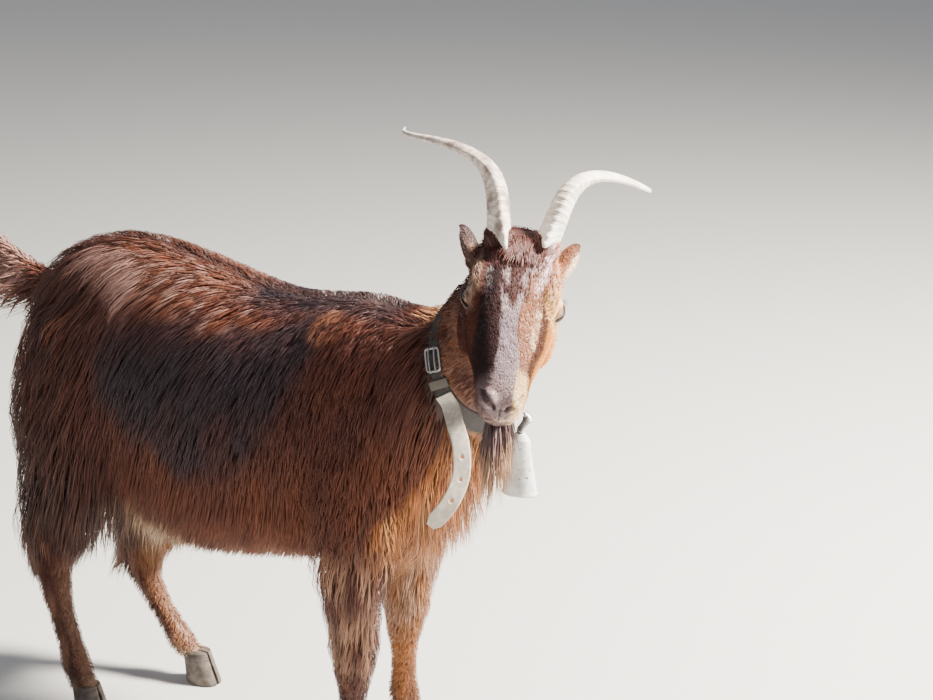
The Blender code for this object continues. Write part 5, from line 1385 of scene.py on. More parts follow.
root_station, _, _, root_length, _, root_shares = body_hair(body_roots)
leg_total = sum(root_shares.values())
coats = []
for belt, (start, stop) in BELTS.items():
    mine = (root_station >= start) & (root_station < stop) & (leg_total < 0.5)
    coats.append(body_piece(belt, body_roots[mine], belt, 3))
    print(belt, int(mine.sum()), "tufts")
for leg, share in root_shares.items():
    mine = (leg_total >= 0.5) & (share > 0.25)
    for ending, chosen, steps in (("", mine & (root_length >= SHORT_HAIR), 3),
                                  ("_shank", mine & (root_length < SHORT_HAIR), 2)):
        coats.append(body_piece("coat_" + leg + ending, body_roots[chosen], leg, steps))
        print("coat_" + leg + ending, int(chosen.sum()), "tufts")

# %% [markdown]
# The raised tail carries a fan: its hairs leave the dock backward and sideways and droop at their
# tips.
# %% Tail
TAIL_TUFTS = 2600
TAIL_LOCK = 0.016


def tail_piece():
    """Roots round the dock, tufts swept to the tip and out to both sides, longest near the tip."""
    share = rng.random(TAIL_TUFTS) ** 0.8
    turn = rng.uniform(0, 2 * math.pi, TAIL_TUFTS)
    path = tail_path(200)
    index = (share * 199).astype(int)
    heading = unit(np.gradient(path, axis=0))[index]
    across = unit(np.cross(heading, (0.0, 0.0, 1.0)))
    up = np.cross(across, heading)
    cos, sin = np.cos(turn)[:, None], np.sin(turn)[:, None]
    radius = (0.0155 - TAIL_TAPER * share)[:, None]
    roots = path[index] + (across * cos + up * sin) * radius
    lie = heading * 0.75 + across * cos * 0.50 + np.array([-0.20, 0, -0.85]) + up * (sin * 0.10)
    below = ramp(np.sin(turn), 0.7, -0.2)
    length = (0.045 + 0.065 * below + 0.025 * share) * rng.uniform(0.45, 1.10, TAIL_TUFTS)
    lift = rng.uniform(0.001, 0.009, TAIL_TUFTS)
    group, _ = lock_groups(roots, TAIL_LOCK)
    lie = lie + rng.normal(0, 0.07, lie.shape)
    spine, outs = combed(roots, lie, length, lift, 4, 0.35, 0.35, TAIL_LOCK)
    colour = shaded(body_colours(roots), group)
    width = rng.uniform(0.0022, 0.0036, TAIL_TUFTS)
    where = map_places(share, turn / (2 * math.pi))
    return coat_piece("coat_tail", spine, outs, width, 0.45, colour, colour * 1.25 + 0.02, where)


coats.append(tail_piece())
print("tail tufts:", TAIL_TUFTS)

# %% [markdown]
# On the face the hair is a few millimetres long and lies from the nose up to the poll; it lengthens
# over the cheeks and hangs under the jaw. Little grows on the nose's bare skin, and nothing on the
# lips' edges or round the open eye.
# %% Coat of the head
HEAD_LOCK = 0.009
FACE_LENGTH = ((-0.03, 0.02, 0.06, 0.10, 0.15, 0.20, 0.25),
               (0.030, 0.020, 0.013, 0.0085, 0.006, 0.0045, 0.003))
DOWN_CHEEK, DOWN_JAW = np.array([0.15, 0, -0.75]), np.array([-0.1, 0, -0.8])
DOWN_POLL = np.array([-0.35, 0.0, -0.6])


def head_hair(points):
    """Lie and length of the hair on the head."""
    local = to_head(points)
    x, y, z = local.T
    spread = 0.25 * np.sign(y + 1e-9) * ramp(np.abs(y), 0.01, 0.03)
    cheek = ramp(z, -0.030, -0.085) * ramp(x, 0.15, 0.10)
    under = ramp(z, -0.088, -0.110)
    brow = spot(x, 0.012, 0.014, 0.012) * ramp(np.abs(y), 0.030, 0.016) * ramp(z, -0.03, -0.01)
    poll = ramp(x, 0.020, -0.010)[:, None]
    lie = np.stack([-1 + 0 * x, spread, 0 * x], 1) + cheek[:, None] * DOWN_CHEEK
    lie = lie * (1 - under[:, None] * 0.6)
    lie = blend(lie, np.stack([0.9 + 0 * x, 12 * y, 0.25 + 0 * x], 1), brow) @ HEAD_AXES
    lie = unit(lie) * (1 - 0.7 * poll) + DOWN_POLL * poll
    lie = lie + (under * ramp(x, 0.16, 0.08))[:, None] * DOWN_JAW
    length = np.interp(x, *FACE_LENGTH)
    length = length + cheek * 0.007 + under * ramp(x, 0.17, 0.05) * 0.020 + brow * 0.012
    for side in SIDES.values():
        away = unit(points - from_head(mirrored(EYE_PLACE, side)))
        near = ramp(eye_distance(local, side), 0.030, 0.019)
        lie = lie * (1 - 0.75 * near[:, None]) + away * near[:, None] * 0.75
        length = length * (1 - 0.35 * near)
    return lie, length


def face_tuft_width(length):
    return 0.0007 + 0.028 * length


def head_density(points):
    """Tufts for each square metre on the head, few on the nose, none in the eyes and the mouth."""
    local = to_head(points)
    x = local[:, 0]
    length = head_hair(points)[1]
    density = 2.6 / (length * face_tuft_width(length))
    for side in SIDES.values():
        distance, off, turn = seen_from_eye(local, side)
        open_eye = (distance < 0.028) & (off < lid_angle(turn) + math.radians(26))
        density = density * ~open_eye
    height, share = mouth_offset(local)
    mouth = (np.abs(height) < 0.0022) & (share > 0.2)
    worn = (past_collar(points) < COLLAR_HALF_WIDTH + 0.001) & (x < 0.05)
    return density * (0.15 + 0.85 * ramp(x, 0.238, 0.228)) * ~mouth * ~worn


def head_piece(name, roots):
    """The short coat of one side of the head."""
    count = len(roots)
    lie, length = head_hair(roots)
    group, _ = lock_groups(roots, HEAD_LOCK)
    colour = shaded(head_colours(roots), group)
    long = length * lock_spread(group, 0.12) * rng.uniform(0.75, 1.2, count)
    lift = 0.0009 + 0.10 * length * rng.random(count)
    pull = 0.35 * ramp(length, 0.006, 0.02)[:, None]
    lie = unit(lie) + rng.normal(0, 0.10, lie.shape)
    spine, outs = combed(roots, lie, long, lift, 2, pull, 0.3, HEAD_LOCK)
    width = face_tuft_width(length) * rng.uniform(0.75, 1.25, count)
    x, y, z = to_head(roots).T
    where = map_places((x + 0.06) / 0.33, full_turn(np.degrees(np.arctan2(y, z + 0.05))))
    tip = colour * rng.uniform(0.9, 1.25, (count, 1))
    return coat_piece(name, spine, outs, width, 0.45, colour, tip, where)


head_roots = scattered(skin_points, head_triangles, head_density)
on_left = to_head(head_roots)[:, 1] > 0
coats.append(head_piece("coat_head_left", head_roots[on_left]))
coats.append(head_piece("coat_head_right", head_roots[~on_left]))
print("head tufts:", len(head_roots))

# %% [markdown]
# Longer hair with a shape of its own is grown strand by strand from small areas: the beard under
# the chin and the forelock between the horns. Short hair on the ears and the lashes come last.
# %% Beard, forelock, ears and lashes
BEARD_TUFTS, FORELOCK_TUFTS, EAR_TUFTS, LASHES = 1500, 420, 6000, 60
FINE_LOCK = 0.008


def free_tufts(name, roots, lie, length, width, steps, colour, tip, lift=0.001, pull=0.5,
               cell=0.012):
    """A piece of long tufts that leave the skin, mapped by the box round their roots."""
    spine, outs = combed(roots, lie, length, np.full(len(roots), lift), steps, pull, 0.45, cell)
    low, high = roots.min(0), roots.max(0)
    flat = (roots - low) / (high - low + 1e-6)
    where = map_places(flat[:, 0], 0.5 * (flat[:, 1] + flat[:, 2]))
    return coat_piece(name, spine, outs, width, 0.5, colour, tip, where)


def beard_piece():
    """Strands from the chin and behind it, longest in the middle, parted and pointed below."""
    count = BEARD_TUFTS
    across = np.clip(rng.normal(0, 0.5, count), -1.1, 1.1)
    back = rng.random(count)
    places = [0.224 - 0.040 * back, 0.0125 * across, -0.088 - 0.004 * (1 - across**2)]
    roots = from_head(np.stack(places, 1))
    ways = [0.08 * across + 0.10 * (back - 0.5), -0.04 + 0.10 * across, -1 + 0 * across]
    length = (0.136 - 0.044 * np.abs(across) - 0.022 * back) * rng.uniform(0.55, 1.1, count)
    group, _ = lock_groups(roots, FINE_LOCK)
    lean = np.stack(ways, 1) + rng.normal(0, 0.05, (group.max() + 1, 3))[group]
    lean = lean + rng.normal(0, 0.025, (count, 3))
    pale = rng.random(count) < 0.30
    colour = np.where(pale[:, None], MUZZLE * 0.65, SLATE * (1.3, 0.85, 0.8))
    colour = colour * rng.uniform(0.7, 1.3, (count, 1))
    tip = np.where(length[:, None] > 0.085, ORANGE_TAN * 0.4 + CREAM * 0.5, SLATE * 1.6)
    tip = tip * rng.uniform(0.8, 1.2, (count, 1))
    width = rng.uniform(0.0013, 0.0024, count)
    return free_tufts("coat_beard", roots, lean, length, width, 5, colour, tip, pull=0.75,
                      cell=0.009)


def forelock_piece():
    """Strands from between the horns that fall onto the forehead."""
    count = FORELOCK_TUFTS
    across = rng.uniform(-1, 1, count)
    places = [rng.uniform(-0.012, 0.026, count), 0.015 * across, 0.003 + 0 * across]
    roots = from_head(np.stack(places, 1))
    lean = np.stack([0.9 + 0 * across, 0.35 * across, 0.20 + 0 * across], 1)
    lean = (lean + rng.normal(0, 0.10, (count, 3))) @ HEAD_AXES
    length = rng.uniform(0.020, 0.044, count)
    colour = head_colours(roots) * rng.uniform(0.7, 1.2, (count, 1))
    width = rng.uniform(0.0011, 0.0020, count)
    return free_tufts("coat_forelock", roots, lean, length, width, 4, colour, colour * 1.5, 0.003)


def ear_piece():
    """Short hair along both sides of each ear, lying to the tip."""
    roots = scattered(skin_points, ear_triangles, lambda places: 1.0 + 0 * places[:, 0], EAR_TUFTS)
    side, mirroring, _, along = ear_place(roots)
    lie = (EAR_AXIS * mirroring) @ HEAD_AXES
    length = (0.0065 + 0.004 * ramp(along, 0.6, 0.1)) * rng.uniform(0.7, 1.2, EAR_TUFTS)
    group, _ = lock_groups(roots, FINE_LOCK)
    colour = shaded(ear_colours(roots), group)
    lie = lie + rng.normal(0, 0.10, lie.shape)
    spine, outs = combed(roots, lie, length, np.full(EAR_TUFTS, 0.0010), 2, 0.2, 0.3, FINE_LOCK)
    where = map_places(along, 0.25 + 0.5 * (side > 0))
    width = rng.uniform(0.0008, 0.0013, EAR_TUFTS)
    return coat_piece("coat_ears", spine, outs, width, 0.45, colour, colour * 1.2, where)


def lash_piece():
    """A row of dark lashes on each upper lid."""
    roots, lies = [], []
    turn = np.radians(np.linspace(20, 160, LASHES))
    edge = lid_angle(turn)[:, None]
    for side in SIDES.values():
        centre, ahead, up, out = eye_frame(side)
        sideways = lid_way(turn, ahead, up)
        rim = np.cos(edge) * out + np.sin(edge) * sideways
        roots.append(centre + (EYE_RADIUS + 0.0020) * rim)
        lies.append(out * 0.8 + sideways * 0.55 - up * 0.35 - ahead * 0.15)
    roots, lies = from_head(np.concatenate(roots)), np.concatenate(lies) @ HEAD_AXES
    length = rng.uniform(0.0055, 0.0085, len(roots))
    heading = unit(lies + rng.normal(0, 0.06, lies.shape))
    steps = np.linspace(0, 1, 4)[None, :, None]
    spine = roots[:, None] + heading[:, None] * length[:, None, None] * steps
    spine = spine + np.array([0, 0, 0.0012]) * steps**2
    outs = np.tile(np.array([0.0, 0.0, 1.0]), (len(roots), 4, 1))
    colour = plain(BLACK, roots)
    where = np.stack([np.linspace(0.05, 0.95, len(roots)), 0.5 + 0 * length], 1)
    width = np.full(len(roots), 0.0004)
    return coat_piece("eyelashes", spine, outs, width, 0.6, colour, colour, where)


coats += [beard_piece(), forelock_piece(), ear_piece(), lash_piece()]
print("hair pieces:", len(coats))

# %% [markdown]
# The skin carries the same colours as the tufts that stand on it, a little darker, as skin seen
# between hairs is shaded by them. The lids are nearly black, as a goat's are.
# %% Colours of the skin
def skin_colours():
    """Body, head, lids and ears, in the order in which they were joined."""
    body, head, lid_points, ear = np.split(skin_points, (body_end, head_end, lids_end))
    row = np.tile(np.arange(len(lid_points) // 2) // LID_COLUMNS, 2)
    lid = laid(head_colours(lid_points), (BLACK, ramp(row, 5.2, 3.2)))
    return np.concatenate([coat_colours(body, body_hair(body)[5]) * 0.8, head_colours(head) * 0.9,
                           lid, ear_colours(ear) * 0.85])


paint(skin, skin_colours())
bpy.data.objects.remove(skin_body)
bpy.data.objects.remove(skin_head)
print("skin painted")

# %% [markdown]
# A horn grows as a ringed, keeled sheath round a bony core. Its centre line is one smooth curve
# through six control points, a little different on each side; its section is deeper than wide, with
# a keel in front, and the yearly rings swell it again and again, closer together to the tip.
# %% Horns
HORN_CURVES = {
    -1: [(0.004, -0.030, -0.012), (-0.044, -0.043, 0.027), (-0.089, -0.039, 0.044),
         (-0.134, -0.090, 0.024), (-0.184, -0.189, -0.079), (-0.230, -0.173, -0.094)],
    1: [(0.004, 0.030, -0.012), (-0.040, 0.047, 0.023), (-0.093, 0.037, 0.047),
        (-0.135, 0.088, 0.024), (-0.171, 0.198, -0.092), (-0.211, 0.171, -0.112)]}
# Place along the horn, half depth to its keel, half width
HORN_SIZES = np.array([
    (0.00, 0.0185, 0.0155), (0.15, 0.0175, 0.0148), (0.27, 0.0165, 0.0136), (0.38, 0.0138, 0.0110),
    (0.49, 0.0110, 0.0078), (0.60, 0.0088, 0.0060), (0.70, 0.0066, 0.0047), (0.80, 0.0050, 0.0037),
    (0.90, 0.0034, 0.0026), (0.97, 0.0017, 0.0014), (1.00, 0.0004, 0.0004)])
HORN_START = 0.035
# How far the keel runs down the forehead in front of each horn, and up to where along the horn
TONGUE_LENGTH = {-1: 0.030, 1: 0.016}
TONGUE_TOP = 0.17
RING_COUNT = 26


def horn_shape(side, rows=300, columns=44):
    """Rings across the curve, their half sizes from the table and swollen by the yearly ridges."""
    t = HORN_START + (1 - HORN_START) * np.linspace(0, 1, rows)
    curve = np.array(HORN_CURVES[side])
    degree = len(curve) - 1
    weights = np.stack([math.comb(degree, k) * (1 - t) ** (degree - k) * t**k
                        for k in range(degree + 1)], 1)
    path = from_head(weights @ curve)
    heading = unit(np.gradient(path, axis=0))
    front = np.array([0.8, -0.1 * side, 0.6]) @ HEAD_AXES
    keel = unit(front - heading * (heading @ front)[:, None])
    across = np.cross(heading, keel)
    turn = around(columns)[None]
    from_keel = np.minimum(turn, 2 * math.pi - turn)
    left = 1 - t[:, None]
    phase = t[:, None] ** 0.72 * 2 * math.pi * RING_COUNT + 0.6 * np.cos(turn)
    ridge = 0.055 * (0.5 + 0.5 * np.cos(phase)) ** 2 * (0.55 + 0.45 * np.cos(turn)) * left**0.3
    wear = 0.014 * np.cos(phase * 2.7 + 1) * left
    deep, wide = (np.interp(t, HORN_SIZES[:, 0], HORN_SIZES[:, k])[:, None] for k in (1, 2))
    deep = deep * (1 + ridge + wear + bump_of(from_keel, 0.38, 0.13))
    wide = wide * (1 + ridge + wear)
    rings = path[:, None] + (deep * np.cos(turn))[..., None] * keel[:, None]
    rings = rings + (wide * np.sin(turn))[..., None] * across[:, None]
    tongue = bump_of(from_keel, 0.50, ramp(t, TONGUE_TOP, HORN_START)[:, None] ** 1.6)
    down_face = np.array([1.0, -0.35 * side, -0.02]) @ HEAD_AXES
    rings = rings + (tongue * TONGUE_LENGTH[side])[..., None] * down_face
    return outward(closed_grid(rings)), np.append(np.repeat(t, columns), (t[0], t[-1]))


horns = {}
for side_name, side in SIDES.items():
    shape, along = horn_shape(side)
    horns[side_name] = mesh_object("ringed_horn_" + side_name, shape)
    carry(horns[side_name], "along", "FLOAT", along)
print("horn points:", len(along))

# %% [markdown]
# An eye is a ball with a clear bulge in front. The iris and the level slot of the pupil are drawn
# from the place across the eye, which each point of the ball carries as an attribute.
# %% Eyes
def eye_shape(side, rows=64, columns=96):
    """Rings round the eye's axis; near the axis the radius grows a little for the cornea."""
    centre, _, _, out = eye_frame(side)
    off = np.linspace(0.004, math.pi - 0.004, rows)[:, None]
    turn = around(columns)[None]
    radius = (EYE_RADIUS - 0.0003) * (1 + 0.035 * ramp(off, 0.72, 0.30))
    x, y = radius * np.sin(off) * np.cos(turn), radius * np.sin(off) * np.sin(turn)
    z = radius * np.cos(off) + 0 * turn
    level = np.array([1.0, 0.0, -0.30])
    level = unit(level - out * (level @ out))
    rise = np.cross(out, level)
    grid = centre + x[..., None] * level + y[..., None] * rise + z[..., None] * out
    flat = np.stack([x, y, z], -1) / EYE_RADIUS
    flat = np.concatenate([flat.reshape(-1, 3), [[0, 0, 1], [0, 0, -1]]])
    return outward(placed(closed_grid(grid), from_head)), flat


eyes = {}
for side_name, side in SIDES.items():
    shape, flat = eye_shape(side)
    eyes[side_name] = mesh_object("eyeball_" + side_name, shape)
    carry(eyes[side_name], "across_eye", "FLOAT_VECTOR", flat)
print("eye points:", len(flat))

# %% [markdown]
# Each foot ends in two claws with a cleft between them. A claw is a short loft of level rings, flat
# on its inner side, with the wall's growth rings across it and a level sole on the floor.
# %% Hooves
HOOF_LEGS = {"forehoof_left": "foreleg_left", "forehoof_right": "foreleg_right",
             "hind_hoof_left": "hind_leg_left", "hind_hoof_right": "hind_leg_right"}
# Height, shift to the front, half length and width
HOOF_ROWS = np.array([
    (0.0, 0.0085, 0.0275, 0.0200), (0.0008, 0.0095, 0.0290, 0.0210),
    (0.004, 0.0095, 0.0298, 0.0216), (0.022, 0.005, 0.0265, 0.0208),
    (0.042, 0.0, 0.0232, 0.0198), (0.052, -0.001, 0.0205, 0.0180)])
GROWTH_RING = 0.0042


def claw_shape(centre, side, rows=60, columns=48):
    """Half of a squared oval: drawn in to a flat face beside the cleft, and splayed at the toe."""
    sizes = smooth_rows(HOOF_ROWS, np.linspace(0, len(HOOF_ROWS) - 1, rows)).T
    height, shift, long, wide = sizes[..., None]
    height = np.maximum(height, 0)
    turn = around(columns)[None]
    x = shift + long * squared(np.cos(turn), 0.9)
    y = wide * squared(np.sin(turn), 0.8)
    rings = 1 + 0.010 * np.sin(height * 2 * math.pi / GROWTH_RING) * ramp(height, 0.002, 0.006)
    inner = 0.0011 + 0.0016 * ramp(x, 0.010, 0.034)
    y = side * np.maximum(y * side * rings, inner)
    x = np.where(np.abs(y) <= inner + 1e-9, x * 0.985, x * rings)
    return outward(closed_grid(np.stack([centre[0] + x, centre[1] + y, height + 0 * x], -1)))


hooves = {}
for hoof_name, leg in HOOF_LEGS.items():
    claws = [claw_shape(LEGS[leg][-1], side) for side in SIDES.values()]
    hooves[hoof_name] = mesh_object("claws_" + hoof_name, joined(claws))
print("hoof points:", len(hooves["forehoof_left"].data.vertices))

# %% [markdown]
# The collar is a dark leather band round the middle of the neck. It stands off the coat where the
# bell pulls it down. A wire hanger carries a tall bell there, and on the other side the band has a
# buckle with two prongs, a keeper, and the pale punched end of the strap.
# %% Collar
CORE_SHARE = 0.45
GAP = 0.0003
COLLAR_INSIDE = -0.004
COLLAR_OUTSIDE = -0.0005
COLLAR_SLACK = 0.010
HANGER_ANGLE = 144
STITCHES = 64
STITCH_TURNS = np.array([-0.028, -0.010, 0.010, 0.028])
STITCH_HEIGHTS = np.array([-0.0003, 0.00035, 0.00035, -0.0003])


def collar_slack(angles):
    return COLLAR_SLACK * np.maximum(np.cos(angles - math.radians(HANGER_ANGLE)), 0) ** 4


def ring_middle(station):
    """The middle of the ring round the neck at a station."""
    return trunk_surface(np.full(64, station), around(64), CORE_SHARE).mean(0)


def collar_shape(columns=220):
    """A flat loop with rounded edges: its section is a squared oval, carried round the neck."""
    turn = around(40)
    across = COLLAR_HALF_WIDTH * squared(np.cos(turn), 0.35)
    height = ((COLLAR_INSIDE + COLLAR_OUTSIDE) / 2
              + (COLLAR_OUTSIDE - COLLAR_INSIDE) / 2 * squared(np.sin(turn), 0.45))
    angles = around(columns)[:, None]
    place = COLLAR_STATION + across[None] / STATION_STEP
    ring = trunk_surface(place + 0 * angles, angles + 0 * place, CORE_SHARE)
    away = unit(ring - ring.mean(0))
    return outward(ring_grid(ring + away * (height[None] + collar_slack(angles))[..., None]))


def collar_point(angle, height):
    """A point over the collar, the way out of it, the way round it and the way across it."""
    turn = math.radians(angle)
    stations = COLLAR_STATION + np.array([0, 0, -0.2, 0.2])
    turns = turn + np.array([0, 0.05, 0, 0])
    here, ahead, low, high = trunk_surface(stations, turns, CORE_SHARE)
    radial = unit(here - ring_middle(COLLAR_STATION))
    way = unit(ahead - here)
    out = unit(np.cross(way, high - low))
    out = out * np.sign(out @ radial)
    return here + radial * (height + collar_slack(turn)), out, way, unit(np.cross(out, way))


def stitch_shapes():
    """Two rows of short raised stitches along the band's edges."""
    shapes = []
    for edge in (-1, 1):
        place = COLLAR_STATION + edge * 0.80 * COLLAR_HALF_WIDTH / STATION_STEP
        middle = ring_middle(place)
        for k in range(STITCHES):
            angles = math.radians(k * 360 / STITCHES) + STITCH_TURNS
            points = trunk_surface(np.full(len(angles), place), angles, CORE_SHARE)
            rise = COLLAR_OUTSIDE + collar_slack(angles) + STITCH_HEIGHTS
            shapes.append(outward(tube(points + unit(points - middle) * rise[:, None], 0.00045, 6)))
    return joined(shapes)


collar = mesh_object("leather_collar", collar_shape())
stitches = mesh_object("collar_stitches", stitch_shapes())
print("collar points:", len(collar.data.vertices))

# %% [markdown]
# The buckle's frame is bent from wire with rounded corners; its prongs lie over the strap. The
# keeper is a flat loop that holds the strap end down.
# %% Buckle and keeper
BUCKLE_ANGLE, KEEPER_ANGLE = -82, -103
BUCKLE_LENGTH, BUCKLE_WIDTH = 0.034, 0.026
KEEPER_LENGTH, KEEPER_WIDTH = 0.012, 0.027
BUCKLE_WIRE = 0.0017


def path_heading(path):
    """The way along a closed path at each of its points."""
    return unit(np.roll(path, -1, axis=0) - np.roll(path, 1, axis=0))


def wire_ring(path, radius, out):
    """A closed wire: a circle carried round a closed path."""
    across = unit(np.cross(path_heading(path), out))
    turn = around(14)[None, :, None]
    return outward(ring_grid(path[:, None] + radius * (np.cos(turn) * across[:, None]
                                                       + np.sin(turn) * out)))


def buckle_shapes():
    """The frame with rounded corners, the bar with two prongs, and the prongs' loops round it."""
    middle, out, way, side = collar_point(BUCKLE_ANGLE, COLLAR_OUTSIDE + 0.0022)
    turn = around(96)[:, None]
    u = (BUCKLE_LENGTH - 2 * BUCKLE_WIRE) / 2 * squared(np.cos(turn), 0.30)
    v = (BUCKLE_WIDTH - 2 * BUCKLE_WIRE) / 2 * squared(np.sin(turn), 0.30)
    shapes = [wire_ring(middle + u * way + v * side, BUCKLE_WIRE, out)]
    bar_middle = BUCKLE_LENGTH / 2 - BUCKLE_WIRE
    steps, loop_turn = np.linspace(0, 1, 24)[:, None], around(28)[:, None]
    for row in (-1, 1):
        start = middle + side * row * 0.0048 + way * bar_middle
        rise = out * (0.0012 + 0.0016 * np.sin(steps * math.pi))
        prong = start - way * steps * (BUCKLE_LENGTH - 0.0010) + rise
        loop = start + out * 0.0002 + 0.0022 * (np.cos(loop_turn) * way + np.sin(loop_turn) * out)
        shapes += [outward(tube(prong, 0.00115, 12, hint=side)), wire_ring(loop, 0.0008, side)]
    width = np.linspace(-1, 1, 12)[:, None] * (BUCKLE_WIDTH / 2 - 0.0022)
    shapes.append(outward(tube(middle + way * bar_middle + side * width, 0.0014, 12, hint=out)))
    return joined(shapes)


def keeper_shape():
    """A flat band round the strap: a squared oval carried round another."""
    middle, out, way, side = collar_point(KEEPER_ANGLE, COLLAR_OUTSIDE + 0.0016)
    turn, section = around(60)[:, None], around(16)[None]
    across = KEEPER_WIDTH / 2 * squared(np.cos(turn), 0.35)
    path = middle + across * side + 0.0014 * squared(np.sin(turn), 0.5) * out
    outwards = np.cross(path_heading(path), way)
    u = KEEPER_LENGTH / 2 * squared(np.cos(section), 0.3)
    v = 0.0006 * squared(np.sin(section), 0.6)
    return outward(ring_grid(path[:, None] + u[..., None] * way + v[..., None] * outwards[:, None]))


buckle = mesh_object("wire_buckle", buckle_shapes())
keeper = mesh_object("strap_keeper", keeper_shape())
print("buckle points:", len(buckle.data.vertices))

# %% [markdown]
# The loose strap end is stiff and pale, with a row of punched holes. It is made as a flat ribbon of
# cells along a bent path; where a hole falls, the cell's corners are drawn to a circle and the
# middle is left out, on both faces, with a wall between them.
# %% Strap end
STRAP_PATH = [(0.412, -0.089, 0.595), (0.437, -0.114, 0.575), (0.446, -0.128, 0.540),
              (0.440, -0.147, 0.506), (0.420, -0.163, 0.476)]
STRAP_ANGLES = (-113, -124)
STRAP_HALF_THICKNESS = 0.0014
STRAP_HALF_WIDTH = 0.0115
STRAP_CELLS = 12
HOLE_PLACES = (0.5625, 0.6875, 0.8125)
HOLE_RADIUS = 0.0026


def strap_frames(count):
    """Path of the strap end with the ways across and out of it."""
    height = COLLAR_OUTSIDE + 2 * GAP + STRAP_HALF_THICKNESS
    starts = [collar_point(angle, height) for angle in STRAP_ANGLES]
    route = np.array([start[0] for start in starts] + STRAP_PATH)
    places = np.linspace(0, len(route) - 1, count)
    path = smooth_rows(route, places)
    heading = unit(np.gradient(path, axis=0))
    _, out, way, _ = starts[0]
    ahead = np.array([0.85, 0.45, -0.05])
    square = np.cross(out, way)
    square = square * np.sign(square @ ahead)
    share = np.clip((places - 1) / 1.5, 0, 1)[:, None]
    ahead = square * (1 - share) + ahead * share
    across = unit(ahead - heading * (heading * ahead).sum(1, keepdims=True))
    return path, across, np.cross(heading, across)


def strap_cells(count, length):
    """Places along and across the strap at its cells' corners, and which cells are kept."""
    middle = STRAP_CELLS // 2
    u, v = np.meshgrid(length, np.linspace(-1, 1, STRAP_CELLS + 1), indexing="ij")
    v = v * STRAP_HALF_WIDTH * (1 - 0.48 * ramp(u, length[-1] - 0.016, length[-1]) ** 2)
    keep = np.ones((count - 1, STRAP_CELLS), bool)
    for row in (int(place * (count - 1)) for place in HOLE_PLACES):
        centre = u[row, middle]
        for i, j in ((-1, -1), (-1, 0), (-1, 1), (0, -1), (0, 1), (1, -1), (1, 0), (1, 1)):
            turn = math.atan2(j, i)
            u[row + i, middle + j] = centre + HOLE_RADIUS * math.cos(turn)
            v[row + i, middle + j] = HOLE_RADIUS * math.sin(turn)
        keep[row - 1:row + 1, middle - 1:middle + 1] = False
    return u, v, keep


def strap_shape(count=97):
    """Two sheets of a flat grid mapped onto the bent strap, joined at the rim and at every hole."""
    frames = strap_frames(count)
    lengths = np.linalg.norm(np.diff(frames[0], axis=0), axis=1)
    length = np.concatenate([[0], np.cumsum(lengths)])
    u, v, keep = strap_cells(count, length)
    steps = np.interp(u, length, np.arange(count))
    centre, side, face = (smooth_rows(rows, steps) for rows in frames)
    sheets = [centre + side * v[..., None] + face * STRAP_HALF_THICKNESS * level
              for level in (1, -1)]
    index = np.arange(u.size).reshape(u.shape)
    corners = np.stack([index[:-1, :-1], index[1:, :-1], index[1:, 1:], index[:-1, 1:]], -1)[keep]
    used, corners = np.unique(corners, return_inverse=True)
    corners = corners.reshape(-1, 4)
    top, low = (sheet.reshape(-1, 3)[used] for sheet in sheets)
    edges = np.concatenate([corners[:, [k, (k + 1) % 4]] for k in range(4)])
    code = edges.min(1) * len(used) + edges.max(1)
    _, first, times = np.unique(code, return_index=True, return_counts=True)
    rim = edges[first[times == 1]]
    total = len(used)
    walls = np.stack([rim[:, 1], rim[:, 0], rim[:, 0] + total, rim[:, 1] + total], -1)
    quads = np.concatenate([corners, corners[:, ::-1] + total, walls])
    return outward((np.concatenate([top, low]), quads, NO_TRIANGLES))


strap = mesh_object("punched_strap", strap_shape())
print("strap points:", len(strap.data.vertices))

# %% [markdown]
# The bell is a tall thin cup, turned in one profile and then flattened a little, open below with a
# rolled lip. Inside hangs a rod with a ball.
# %% Bell, hanger and clapper
BELL_HEIGHT = 0.086
BELL_WALL = 0.0022
CROWN_DEPTH = BELL_WALL * 1.4
BELL_TOP = np.array([0.4457, 0.0235, 0.556])
BELL_LONG, BELL_FLAT = 1.12, 0.86


def bell_profile(drop, grow):
    """Half width of the bell at a drop below its crown, as a share of its height."""
    return (0.0125 + 0.0105 * drop**1.3 + grow) * np.minimum(1.0, 0.55 + 4.5 * drop)


def bell_shape():
    """Down the outside, round the lip and up the inside, carried round an oval."""
    outer = np.linspace(0, 1, 60) ** 1.3
    inner = np.linspace(1, CROWN_DEPTH / BELL_HEIGHT, 50)
    lip = bump_of(outer - 0.985, 0.02, 0.0009)
    radius = np.concatenate([bell_profile(outer, 0) + lip, bell_profile(inner, -BELL_WALL)])
    radius, drop = radius[:, None], np.concatenate([outer, inner])[:, None]
    turn = around(96)[None]
    rings = np.stack([BELL_LONG * radius * np.cos(turn), BELL_FLAT * radius * np.sin(turn),
                      -BELL_HEIGHT * drop + 0 * turn], -1)
    return outward(closed_grid(rings + BELL_TOP))


def clapper_shape():
    """A rod that ends in a ball, hung under the crown."""
    drop = np.linspace(0, 0.075, 90)
    ball_part = np.sqrt(np.maximum(0.0060**2 - (drop - 0.063) ** 2, 0))
    radius = np.maximum(ball_part, 0.0014 + bump_of(drop, 0.002, 0.0006))
    path = BELL_TOP - (0, 0, CROWN_DEPTH + GAP) - np.stack([0 * drop, 0 * drop, drop], 1)
    return outward(tube(path, radius, 28, hint=(1.0, 0.0, 0.0)))


